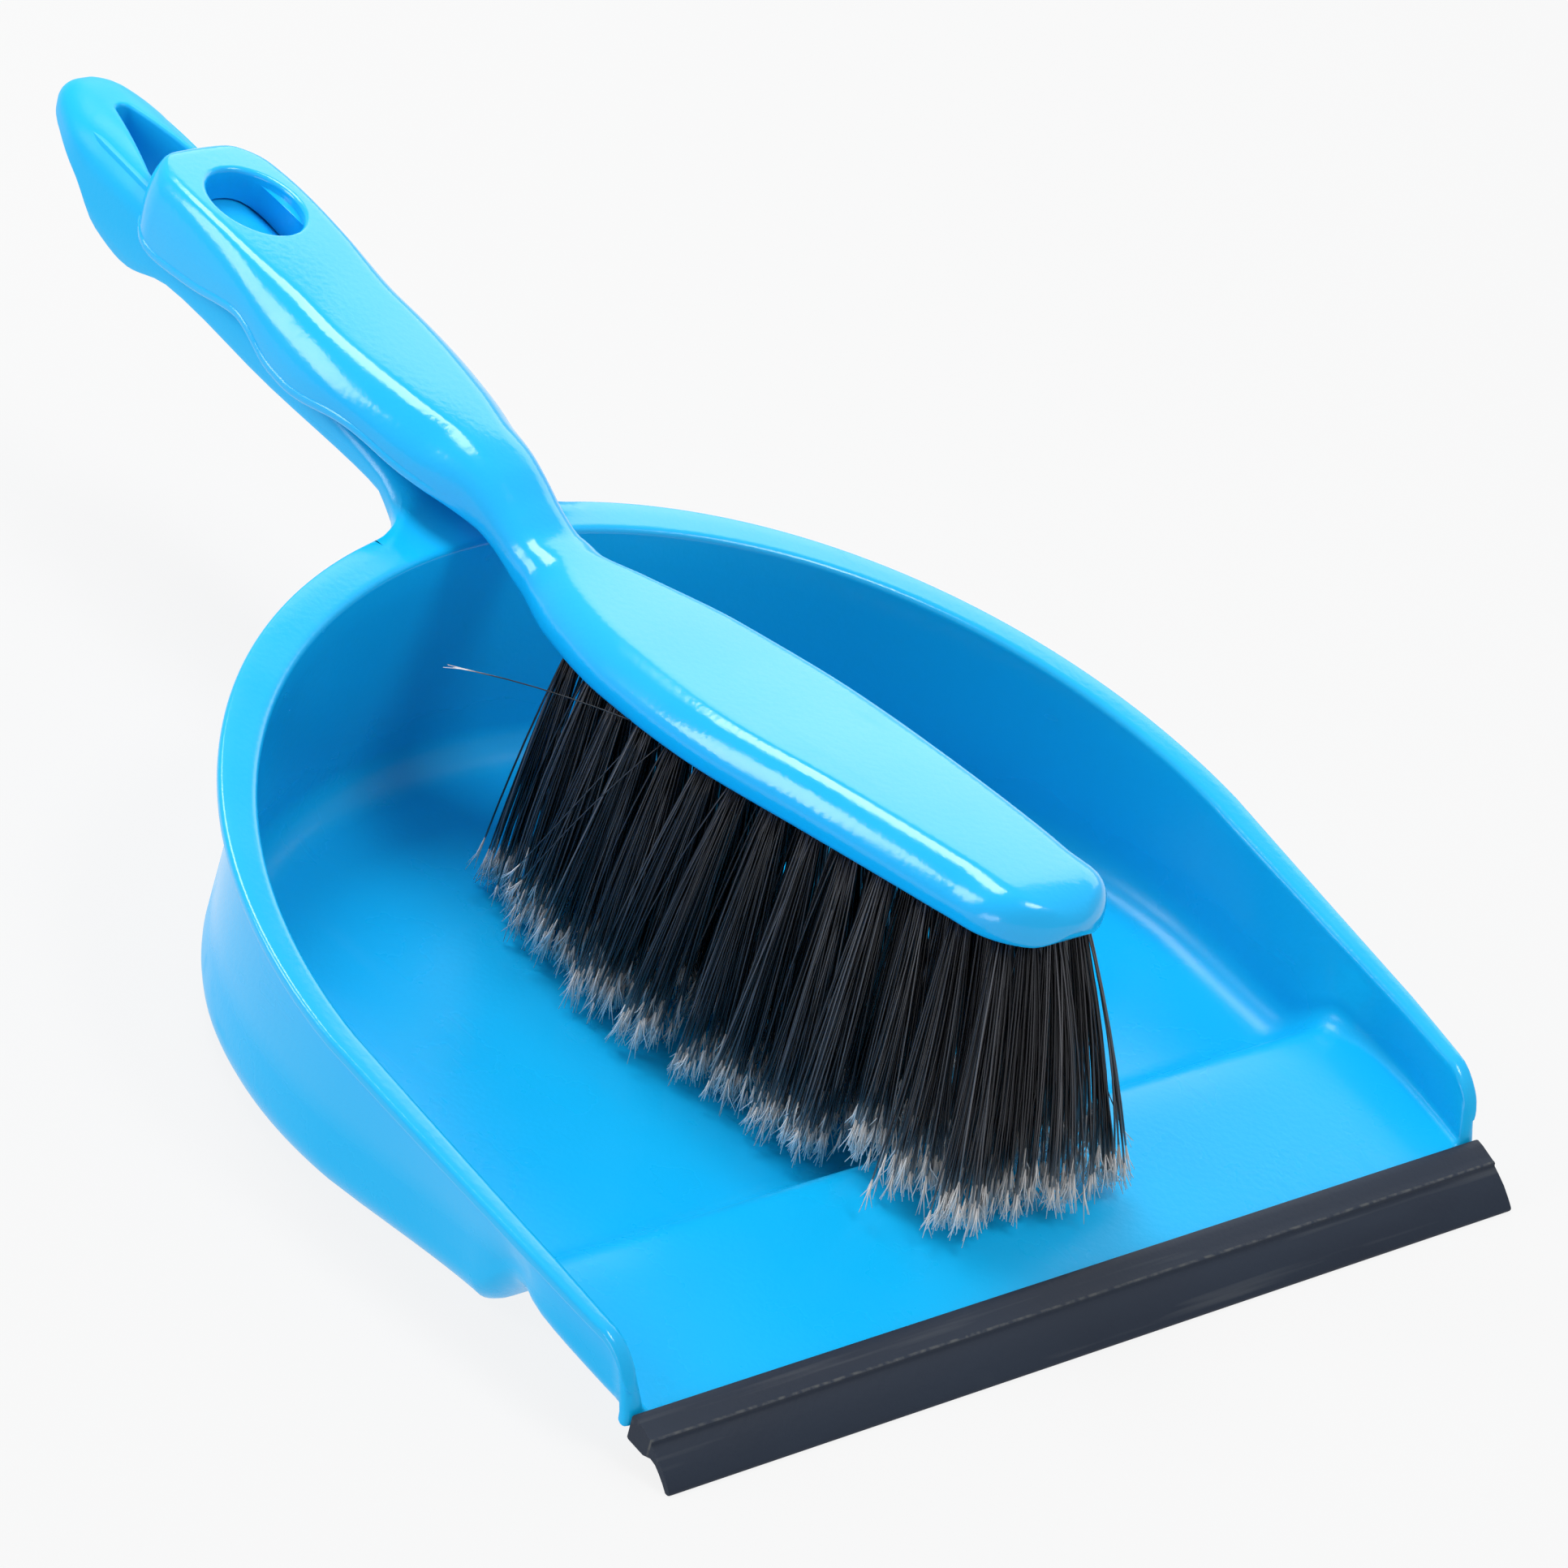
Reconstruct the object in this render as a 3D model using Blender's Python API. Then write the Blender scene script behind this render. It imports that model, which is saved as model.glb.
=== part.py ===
"""A dust pan with a rubber lip, and the hand brush that nests on its handle.

Every length is in millimetres and is turned into metres as the meshes are made. X runs across
the pan, Y from the lip to the end of the handle, Z up from the surface that the pan stands on.
Inside this script Y is counted from the tip of the lip; the frame's origin is in the middle.
"""

import math

import bmesh
import bpy

MM = 0.001
LENGTH = 362.0  # from the lip's tip to the end of the pan's handle
LIP_WIDTH = 220.0
GAP = 0.3  # between pieces that touch

# The scoop: its back is half an ellipse about SCOOP_CENTRE, its sides run on to the front.
SCOOP_CENTRE = 100.0
MOUTH_HALF_WIDTH = 111.5  # inner edge of the rim
MOUTH_BACK = 108.0
SIDE_TAPER = 0.036  # how much each side closes in per millimetre towards the front
RIM_HALF_WIDTH = 117.6
RIM_BACK = 118.0
RIM_THICKNESS = 2.2
FRONT_FLANGE = 2.8  # width of the rim's flange where the side walls end
WALL = 2.3
INNER_FILLET = 8.0
OUTER_FILLET = 8.0
# (y, how far the wall leans out towards the rim)
WALL_LEAN = ((30, 1.5), (46, 1.9), (62, 3.4), (100, 0.6), (150, -1.2))

# The scoop's floor: a ramp behind the lip, then a step down to a floor that rests on the ground.
RAMP_FRONT = 13.4
RAMP_FRONT_Z = 7.5
RAMP_SLOPE = 0.155
RAMP_BACK = 51.0
FLOOR_Z = 2.4
RAMP_THICKNESS = 2.2
RAMP_BACK_Z = RAMP_FRONT_Z + RAMP_SLOPE * (RAMP_BACK - RAMP_FRONT)
FLOOR_TOP = ((RAMP_FRONT, RAMP_FRONT_Z), (RAMP_BACK - 3, RAMP_BACK_Z - 3 * RAMP_SLOPE),
             (RAMP_BACK, RAMP_BACK_Z), (54, 12.0), (58, 6.9), (61, 3.6), (64, FLOOR_Z))
FLOOR_UNDER = ((RAMP_FRONT, RAMP_FRONT_Z - RAMP_THICKNESS), (46, 10.4), (50, 9.8), (54, 5.8),
               (57, 1.9), (59.5, 0.0))
FLOOR_STATIONS = (RAMP_FRONT, 20, 28, 38, 46, RAMP_BACK, 54, 57.5, 61, 64, 82)

# The tongue is the front edge that the lip clips onto.
TONGUE_TIP = 9.3
TONGUE_SINK = 0.2  # it is set back from both faces of the ramp

# The pan's handle: (y, half width), (y, top), (y, lower edge).
HANDLE_HALF_WIDTH = ((206, 34), (212, 25), (217, 18.5), (224, 14), (234, 12.6), (300, 12.6),
                     (330, 12.6), (340, 12.4), (352, 11.2))
HANDLE_TOP = ((206, 57), (216, 60), (231, 64.5), (306, 80.5), (332, 84.4), (346, 85.8),
              (354, 86.4), (359, 85.4), (LENGTH, 82.4))
HANDLE_UNDER = ((206, 50.5), (225, 55.8), (231, 58.2), (270, 61.2), (306, 65), (320, 62.4),
                (332, 65.2), (342, 72.8), (350, 76.6), (LENGTH, 80.2))
HANDLE_STATIONS = (206, 209, 212, 216, 220, 225, 231, 250, 280, 306, 313, 320, 326, 332, 337, 342,
                   347, 352, 356, 359, 361.2, LENGTH)
HANDLE_END_ROUND = 19.0  # the end is rounded over this length
HANDLE_EDGE = 4.0
HANDLE_WALL = 2.2
CHANNEL_START = 222.0
SLOT_TIP_CENTRE = 343.6  # the hang slot narrows from a wide round end to a small one
SLOT_TIP_RADIUS = 2.0
SLOT_WIDE_CENTRE = 322.0
SLOT_WIDE_RADIUS = 7.4

# The brush's stock: the head, a narrow neck and the handle.
STOCK_TIP = 36.0
STOCK_END = 323.0
TIP_ROUND = 14.0
END_ROUND = 13.0
STOCK_HALF_WIDTH = ((STOCK_TIP, 16), (50, 16.4), (60, 17.4), (90, 20), (122, 22.2), (150, 20.2),
                    (173, 14.9), (188, 9.8), (196, 9.0), (205, 9.8), (230, 15.8), (256, 18.4),
                    (280, 17), (302, 16.8), (STOCK_END, 15.6))
STOCK_TOP = ((STOCK_TIP, 76), (58, 75.4), (89, 73.4), (120, 70.4), (150, 68.2), (180, 66.8),
             (190, 66.8), (197, 70), (206, 76), (214, 77.8), (260, 83.6), (300, 88.6),
             (STOCK_END, 89.4))
STOCK_UNDER = ((STOCK_TIP, 66.8), (58, 65.4), (160, 57.2), (180, 56.4), (190, 58), (203, 62.5),
               (222, 65.5), (241, 68.4), (256, 67), (264, 67.8), (279, 73), (294, 71.4), (306, 71),
               (STOCK_END, 76))
STOCK_STATIONS = (STOCK_TIP, 36.6, 38, 40.5, 44.5, 50, 60, 75, 90, 106, 122, 136, 150, 162, 173, 181,
                  188, 194, 199, 203, 207, 212, 220, 230, 241, 249, 256, 264, 272, 279, 287, 294,
                  302, 310, 315, 319, 321.6, 322.6, STOCK_END)
TOP_EDGE_X = ((STOCK_TIP, 6.5), (170, 6.5), (195, 5.5), (215, 8), (300, 8), (STOCK_END, 7))
TOP_EDGE_Z = ((STOCK_TIP, 7), (170, 6.5), (190, 5.5), (215, 9.5), (300, 11), (STOCK_END, 9))
UNDER_EDGE = ((STOCK_TIP, 3.8), (170, 3.6), (195, 3), (215, 1), (STOCK_END, 1))
HOLLOW_START = 212.0
HOLLOW_END = 319.0
STOCK_WALL = 2.2
HANG_HOLE_Y = 297.8
HANG_HOLE_LENGTH = 24.2
HANG_HOLE_WIDTH = 18.8
COLLAR_WALL = 1.8
COLLAR_DEPTH = 8.4  # how far the hang hole's collar reaches below the handle's top

# The bristles: rows of tufts in blind holes, splayed outwards.
TUFT_FIRST = 45.5
TUFT_PITCH = 9.4
TUFT_STATIONS = 14
TUFT_EDGE = 6.2  # from the head's outline to the outer row
TUFT_ROWS = (-1.0, -1 / 3, 1 / 3, 1.0)
TUFT_RADIUS = 2.0
TUFT_HOLE_DEPTH = 7.5
SPLAY_CENTRE = 110.0
SPLAY_ACROSS = ((45, 2.0), (80, 1.5), (130, 1.5), (170, 1.6))
SPLAY_TOE = 1.24
SPLAY_HEEL = 1.0
TUFT_SIDES = 8
BRISTLE_CLEARANCE = 2.0  # between the bristles' tips and the scoop's floor

PAN_BLUE = (0.02, 0.37, 0.84, 1.0)
LIP_GREY = (0.035, 0.045, 0.065, 1.0)
BRISTLE_BLACK = (0.02, 0.021, 0.026, 1.0)


def clear_scene():
    for obj in list(bpy.data.objects):
        bpy.data.objects.remove(obj, do_unlink=True)


def through(points, at):
    """A smooth curve through (position, value) points that doesn't overshoot them."""
    if at <= points[0][0]:
        return points[0][1]
    if at >= points[-1][0]:
        return points[-1][1]
    count = len(points)
    rises = [(points[i + 1][1] - points[i][1]) / (points[i + 1][0] - points[i][0])
             for i in range(count - 1)]
    i = max(k for k in range(count - 1) if points[k][0] <= at)

    def tangent(k):
        if k == 0 or k == count - 1:
            return rises[min(k, count - 2)]
        before, after = rises[k - 1], rises[k]
        return 0.0 if before * after <= 0 else 2 * before * after / (before + after)

    span = points[i + 1][0] - points[i][0]
    t = (at - points[i][0]) / span
    return ((2 * t**3 - 3 * t**2 + 1) * points[i][1] + (t**3 - 2 * t**2 + t) * span * tangent(i)
            + (3 * t**2 - 2 * t**3) * points[i + 1][1] + (t**3 - t**2) * span * tangent(i + 1))


def round_end(distance, reach):
    """The share of its full width that a rounded end has at this distance from its tip."""
    if distance >= reach:
        return 1.0
    return math.sqrt(max(0.0, 1 - (1 - distance / reach) ** 2))


def material(name, colour, roughness):
    made = bpy.data.materials.new(name)
    made.use_nodes = True
    shader = made.node_tree.nodes["Principled BSDF"]
    shader.inputs["Base Color"].default_value = colour
    shader.inputs["Roughness"].default_value = roughness
    shader.inputs["Metallic"].default_value = 0.0
    return made


def make_object(name, mesh, origin=(0.0, 0.0, 0.0)):
    """Welds a bmesh whose Y is counted from the lip's tip, and moves it into the frame."""
    bmesh.ops.remove_doubles(mesh, verts=mesh.verts, dist=1e-4)
    bmesh.ops.dissolve_degenerate(mesh, dist=1e-4, edges=mesh.edges)
    bmesh.ops.triangulate(mesh, faces=mesh.faces)
    bmesh.ops.recalc_face_normals(mesh, faces=mesh.faces)
    for vert in mesh.verts:
        vert.co = [(vert.co.x - origin[0]) * MM,
                   (vert.co.y - LENGTH / 2 - origin[1]) * MM,
                   (vert.co.z - origin[2]) * MM]
    data = bpy.data.meshes.new(name)
    mesh.to_mesh(data)
    mesh.free()
    obj = bpy.data.objects.new(name, data)
    obj.location = [value * MM for value in origin]
    bpy.context.scene.collection.objects.link(obj)
    return obj


def loft(rings):
    """A closed bmesh through rings of points, with a cap on each end."""
    mesh = bmesh.new()
    made = [[mesh.verts.new(point) for point in ring] for ring in rings]
    count = len(rings[0])
    for lower, upper in zip(made, made[1:]):
        for i in range(count):
            mesh.faces.new((lower[i], lower[(i + 1) % count], upper[(i + 1) % count], upper[i]))
    mesh.faces.new(made[0][::-1])
    mesh.faces.new(made[-1])
    return mesh


def combine(target, other, operation):
    """Joins or cuts the target with another object, which is then gone."""
    step = target.modifiers.new(operation.title(), "BOOLEAN")
    step.operation = operation
    step.solver = "EXACT"
    step.object = other
    graph = bpy.context.evaluated_depsgraph_get()
    result = bpy.data.meshes.new_from_object(target.evaluated_get(graph))
    target.modifiers.clear()
    target.data = result
    bpy.data.objects.remove(other, do_unlink=True)


# ---------------------------------------------------------------- the scoop


def rim_height(y):
    return 18.2 + 0.15 * y + 0.00015 * y * y


def front_wall_shift(y, height):
    """How far back the side wall leans at its front end, by height above the ramp."""
    fade = max(0.0, 1 - (y - RAMP_FRONT) / 27)
    height = max(0.0, height)
    return fade * (0.045 * height**2 + 0.15 * height)


def wall_profile(width, flange, y):
    """Paired (distance from the middle, z) points of the inner and outer skins, out to the rim."""
    top = through(FLOOR_TOP, y)
    under = through(FLOOR_UNDER, y)
    rim = rim_height(y)
    if y < RAMP_FRONT + 14:
        rim -= 1.6 * (1 - (y - RAMP_FRONT) / 14) ** 2
    foot = width - through(WALL_LEAN, y)
    inner = [(0.0, top), (0.5 * foot, top), (foot - INNER_FILLET, top)]
    outer = [(0.0, under), (0.5 * foot, under), (foot + WALL - OUTER_FILLET - 2, under)]
    for degrees in (30, 60, 90):
        sine, cosine = math.sin(math.radians(degrees)), math.cos(math.radians(degrees))
        inner.append((foot - INNER_FILLET * (1 - sine), top + INNER_FILLET * (1 - cosine)))
        outer.append((foot + WALL - OUTER_FILLET * (1 - sine), under + OUTER_FILLET * (1 - cosine)))
    inner += [(width - 0.4, rim - 1.4), (width + min(1.0, 0.3 * flange), rim),
              (width + 0.88 * flange, rim), (width + flange, rim - 0.8)]
    lower = rim - RIM_THICKNESS
    outer += [(width + 1.7, lower - 1.4), (width + min(3.2, 0.7 * flange), lower),
              (width + 0.88 * flange, lower), (width + flange, lower + 0.6)]
    return inner, outer


def scoop_columns(turns):
    """For each column round the scoop, from the front left to the front right: its two skins."""
    columns = []
    for y in FLOOR_STATIONS:
        width = MOUTH_HALF_WIDTH - SIDE_TAPER * (SCOOP_CENTRE - y)
        back_share = (y - RAMP_FRONT) / (SCOOP_CENTRE - RAMP_FRONT)
        flange = FRONT_FLANGE + (RIM_HALF_WIDTH - MOUTH_HALF_WIDTH - FRONT_FLANGE) * back_share**0.7
        skins = []
        for skin in wall_profile(width, flange, y):
            ramp = through(FLOOR_TOP, y)
            skins.append([(-r, y + front_wall_shift(y, z - ramp), z) for r, z in skin])
        columns.append(skins)
    for turn in range(turns + 1):
        angle = math.pi * turn / turns
        side, back = -math.cos(angle), math.sin(angle)
        mouth = MOUTH_HALF_WIDTH * MOUTH_BACK / math.hypot(MOUTH_BACK * side, MOUTH_HALF_WIDTH * back)
        rim = RIM_HALF_WIDTH * RIM_BACK / math.hypot(RIM_BACK * side, RIM_HALF_WIDTH * back)
        y_out = SCOOP_CENTRE + rim * back
        skins = []
        for skin in wall_profile(mouth, rim - mouth, y_out):
            skins.append([(r * side, SCOOP_CENTRE + r * back, z) for r, z in skin])
        columns.append(skins)
    mirrored = [[[(-x, y, z) for x, y, z in skin] for skin in skins]
                for skins in reversed(columns[:len(FLOOR_STATIONS)])]
    return columns + mirrored


def scoop_mesh(turns):
    columns = scoop_columns(turns)
    mesh = bmesh.new()
    made = [[[mesh.verts.new(point) for point in skin] for skin in skins] for skins in columns]
    last = len(columns[0][0]) - 1
    for left, right in zip(made, made[1:]):
        for k in range(last):
            mesh.faces.new((left[0][k], left[0][k + 1], right[0][k + 1], right[0][k]))
            mesh.faces.new((left[1][k + 1], left[1][k], right[1][k], right[1][k + 1]))
        mesh.faces.new((left[0][last], left[1][last], right[1][last], right[0][last]))
    for end in (made[0], made[-1]):
        for k in range(last):
            mesh.faces.new((end[0][k + 1], end[0][k], end[1][k], end[1][k + 1]))
    return mesh


def tongue_mesh():
    """The front edge of the ramp, a little thinner, which the lip grips."""
    half = LIP_WIDTH / 2 - 1.5
    rings = []
    for y in (TONGUE_TIP, RAMP_FRONT + 4):
        top = RAMP_FRONT_Z + RAMP_SLOPE * (y - RAMP_FRONT) - TONGUE_SINK
        under = top - RAMP_THICKNESS + 2 * TONGUE_SINK
        rings.append([(-half, y, under), (half, y, under), (half, y, top), (-half, y, top)])
    return loft(rings)


def handle_ring(y, inset, drop):
    """One section of the pan's handle, drawn in by an inset; drop lowers its open side."""
    end = round_end(LENGTH - y, HANDLE_END_ROUND)
    half = max(0.4, through(HANDLE_HALF_WIDTH, y) * end - inset)
    top = through(HANDLE_TOP, y) - inset
    under = through(HANDLE_UNDER, y) - drop
    edge = min(HANDLE_EDGE, 0.8 * half, 0.45 * (top - under))
    side = [(half, y, under)]
    for degrees in (0, 30, 60, 90):
        sine, cosine = math.sin(math.radians(degrees)), math.cos(math.radians(degrees))
        side.append((half - edge * (1 - cosine), y, top - edge * (1 - sine)))
    return side + [(-x, y, z) for x, y, z in reversed(side)]


def scoop_side_cutter(inset):
    """A tall plug with the outline of the scoop's mouth, to end the handle inside the wall."""
    outline = []
    for step in range(49):
        angle = math.pi * step / 48
        outline.append(((MOUTH_HALF_WIDTH + inset) * math.cos(angle),
                        SCOOP_CENTRE + (MOUTH_BACK + inset) * math.sin(angle)))
    return loft([[(x, y, z) for x, y in outline] for z in (20, 120)])


def slot_mesh(low, high):
    """The drop-shaped hang slot near the end of the pan's handle."""
    taper = math.asin((SLOT_WIDE_RADIUS - SLOT_TIP_RADIUS) / (SLOT_TIP_CENTRE - SLOT_WIDE_CENTRE))
    ends = ((SLOT_WIDE_CENTRE, SLOT_WIDE_RADIUS, math.pi - taper, 2 * math.pi + taper, 9),
            (SLOT_TIP_CENTRE, SLOT_TIP_RADIUS, taper, math.pi - taper, 5))
    outline = []
    for centre, radius, first, last, steps in ends:
        for step in range(steps + 1):
            angle = first + (last - first) * step / steps
            outline.append((radius * math.cos(angle), centre + radius * math.sin(angle)))
    return loft([[(x, y, z) for x, y in outline] for z in (low, high)])


def make_pan(finish):
    pan = make_object("dust_pan", scoop_mesh(turns=28))
    combine(pan, make_object("tongue", tongue_mesh()), "UNION")
    handle = make_object("handle", loft([handle_ring(y, 0.0, 0.0) for y in HANDLE_STATIONS]))
    channel = [y for y in HANDLE_STATIONS if CHANNEL_START < y < LENGTH - 6]
    channel = [CHANNEL_START] + channel + [LENGTH - 5]
    combine(handle, make_object("channel", loft([handle_ring(y, HANDLE_WALL, 8.0) for y in channel])),
            "DIFFERENCE")
    combine(handle, make_object("plug", scoop_side_cutter(1.1)), "DIFFERENCE")
    combine(handle, make_object("slot", slot_mesh(50, 100)), "DIFFERENCE")
    combine(pan, handle, "UNION")
    pan.data.materials.clear()
    pan.data.materials.append(finish)
    return pan


# ---------------------------------------------------------------- the lip


def make_lip(finish):
    """One rubber section: a clip round the pan's tongue and a flap that droops to the ground."""
    def tongue_top(y):
        return RAMP_FRONT_Z + RAMP_SLOPE * (y - RAMP_FRONT) - TONGUE_SINK

    def tongue_under(y):
        return tongue_top(y) - RAMP_THICKNESS + 2 * TONGUE_SINK

    back = RAMP_FRONT - GAP
    section = [(0.0, 0.9), (0.0, 0.0), (0.9, 0.0), (3.6, 2.5), (6.4, 3.9), (8.4, 3.3), (back, 3.9),
               (back, tongue_under(back) - GAP), (TONGUE_TIP - GAP, tongue_under(TONGUE_TIP) - GAP),
               (TONGUE_TIP - GAP, tongue_top(TONGUE_TIP) + GAP), (back, tongue_top(back) + GAP),
               (back, 9.0), (7.2, 7.0), (6.9, 6.5), (3.4, 4.1)]
    half = LIP_WIDTH / 2
    lip = make_object("lip_strip", loft([[(x, y, z) for y, z in section] for x in (-half, half)]))
    lip.data.materials.append(finish)
    return lip


# ---------------------------------------------------------------- the brush


def stock_half_width(y):
    width = through(STOCK_HALF_WIDTH, y)
    return width * round_end(y - STOCK_TIP, TIP_ROUND) * round_end(STOCK_END - y, END_ROUND)


def stock_ring(y):
    """One section of the stock: a flat top, rounded shoulders and a flat underside."""
    half = max(0.5, stock_half_width(y))
    top, under = through(STOCK_TOP, y), through(STOCK_UNDER, y)
    nose = round_end(y - STOCK_TIP, 5.0) * round_end(STOCK_END - y, 6.0)
    middle = 0.5 * (top + under)
    top = middle + (top - middle) * max(0.12, nose)
    under = middle + (under - middle) * max(0.12, nose)
    edge_x = min(through(TOP_EDGE_X, y), 0.8 * half)
    edge_z = min(through(TOP_EDGE_Z, y), 0.62 * (top - under))
    lower = min(through(UNDER_EDGE, y), 0.3 * (top - under), 0.5 * half)
    side = []
    for degrees in (90, 64, 38, 16, 0):
        sine, cosine = math.sin(math.radians(degrees)), math.cos(math.radians(degrees))
        side.append((half - edge_x * (1 - cosine), y, top - edge_z * (1 - sine)))
    for degrees in (0, 45, 90):
        sine, cosine = math.sin(math.radians(degrees)), math.cos(math.radians(degrees))
        side.append((half - lower * (1 - cosine), y, under + lower * (1 - sine)))
    return side + [(-x, y, z) for x, y, z in reversed(side)]


def hollow_ring(y):
    """One section of the space under the brush's handle, open downwards."""
    half = stock_half_width(y) - STOCK_WALL
    top = through(STOCK_TOP, y) - STOCK_WALL
    edge = min(7.0, 0.7 * half)
    under = through(STOCK_UNDER, y) - 10
    side = [(half, y, under), (half, y, top - edge), (half - 0.3 * edge, y, top - 0.3 * edge),
            (half - edge, y, top)]
    return side + [(-x, y, z) for x, y, z in reversed(side)]


def oval_mesh(centre, length, width, low, high, sides=20):
    outline = []
    for step in range(sides):
        angle = 2 * math.pi * step / sides
        outline.append((width / 2 * math.cos(angle), centre + length / 2 * math.sin(angle)))
    return loft([[(x, y, z) for x, y in outline] for z in (low, high)])


def tuft_places():
    """(x, y) of each blind hole, row by row."""
    places = []
    for row in TUFT_ROWS:
        for station in range(TUFT_STATIONS):
            y = TUFT_FIRST + TUFT_PITCH * station
            places.append((row * (stock_half_width(y) - TUFT_EDGE), y))
    return places


def circle(x, y, z, radius_x, radius_y):
    points = []
    for step in range(TUFT_SIDES):
        angle = 2 * math.pi * (step + 0.5) / TUFT_SIDES
        points.append((x + radius_x * math.cos(angle), y + radius_y * math.sin(angle), z))
    return points


def make_tuft_holes():
    """One cutter for all the blind holes."""
    cutter = bmesh.new()
    for x, y in tuft_places():
        face = through(STOCK_UNDER, y)
        radius = TUFT_RADIUS + GAP / math.cos(math.pi / TUFT_SIDES)
        hole = loft([circle(x, y, face - 3, radius, radius),
                     circle(x, y, face + TUFT_HOLE_DEPTH + GAP, radius, radius)])
        part = bpy.data.meshes.new("hole")
        hole.to_mesh(part)
        hole.free()
        cutter.from_mesh(part)
        bpy.data.meshes.remove(part)
    return make_object("tuft_holes", cutter)


def make_stock(finish):
    stock = make_object("brush_stock", loft([stock_ring(y) for y in STOCK_STATIONS]))
    hollow = [y for y in STOCK_STATIONS if HOLLOW_START < y < HOLLOW_END]
    hollow = [HOLLOW_START] + hollow
    combine(stock, make_object("hollow", loft([hollow_ring(y) for y in hollow])), "DIFFERENCE")
    hole_top = through(STOCK_TOP, HANG_HOLE_Y)
    collar = oval_mesh(HANG_HOLE_Y, HANG_HOLE_LENGTH + 2 * COLLAR_WALL, HANG_HOLE_WIDTH + 2 * COLLAR_WALL,
                       hole_top - COLLAR_DEPTH, hole_top - 1.2)
    combine(stock, make_object("collar", collar), "UNION")
    hole = oval_mesh(HANG_HOLE_Y, HANG_HOLE_LENGTH, HANG_HOLE_WIDTH, 60, 100)
    combine(stock, make_object("hang_hole", hole), "DIFFERENCE")
    nest = [y for y in HANDLE_STATIONS if 225 <= y <= 342]
    nest = [handle_ring(y, -2 * GAP, 20.0) for y in nest]
    combine(stock, make_object("nest", loft(nest)), "DIFFERENCE")
    combine(stock, make_tuft_holes(), "DIFFERENCE")
    stock.data.materials.clear()
    stock.data.materials.append(finish)
    return stock


def tuft_tip(x, y):
    """Where a tuft that starts at (x, y) ends, and its half widths there."""
    splay = SPLAY_TOE if y < SPLAY_CENTRE else SPLAY_HEEL
    tip_y = SPLAY_CENTRE + (y - SPLAY_CENTRE) * splay
    across = through(SPLAY_ACROSS, y)
    outer = stock_half_width(y) - TUFT_EDGE
    reach_x = outer / 3 * across - GAP
    reach_y = TUFT_PITCH * min(SPLAY_HEEL, SPLAY_TOE) / 2 - GAP
    near = [tip_y - reach_y + reach_y * step / 4 for step in range(9)]
    floor = max(through(FLOOR_TOP, at) for at in near)
    return x * across, tip_y, floor + BRISTLE_CLEARANCE, reach_x, reach_y


def make_tuft(index, x, y, finish):
    face = through(STOCK_UNDER, y)
    tip_x, tip_y, tip_z, reach_x, reach_y = tuft_tip(x, y)
    rings = [circle(x, y, face + TUFT_HOLE_DEPTH, TUFT_RADIUS, TUFT_RADIUS),
             circle(x, y, face - 1.0, TUFT_RADIUS, TUFT_RADIUS),
             circle(tip_x, tip_y, tip_z, reach_x, reach_y)]
    tuft = make_object(f"bristle_tuft_{index:02d}", loft(rings))
    tuft.data.materials.append(finish)
    return tuft


def main():
    clear_scene()
    blue = material("blue_plastic", PAN_BLUE, 0.25)
    rubber = material("lip_rubber", LIP_GREY, 0.6)
    black = material("bristle_plastic", BRISTLE_BLACK, 0.45)
    pan = make_pan(blue)
    lip = make_lip(rubber)
    brush = bpy.data.objects.new("brush", None)
    bpy.context.scene.collection.objects.link(brush)
    stock = make_stock(material("brush_plastic", PAN_BLUE, 0.25))
    tufts = [make_tuft(index, x, y, black) for index, (x, y) in enumerate(tuft_places(), 1)]
    for piece in [stock] + tufts:
        piece.parent = brush
    for piece in [pan, lip, stock] + tufts:
        piece.data.shade_smooth()
        piece.data.set_sharp_from_angle(angle=math.radians(32))


main()
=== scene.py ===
"""The looks of a dust pan with a rubber lip, and of the hand brush that nests on its handle.

The pan, the lip, the brush's stock and every tuft of bristles get a fine surface in place of their
plain solid. Lengths are in millimetres until a mesh is made. X runs across the pan, Y from the lip
to the end of the pan's handle and Z up. Y is counted from the tip of the lip.
"""

import math
import random

import bmesh
import bpy
from mathutils import Matrix, Vector


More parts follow.
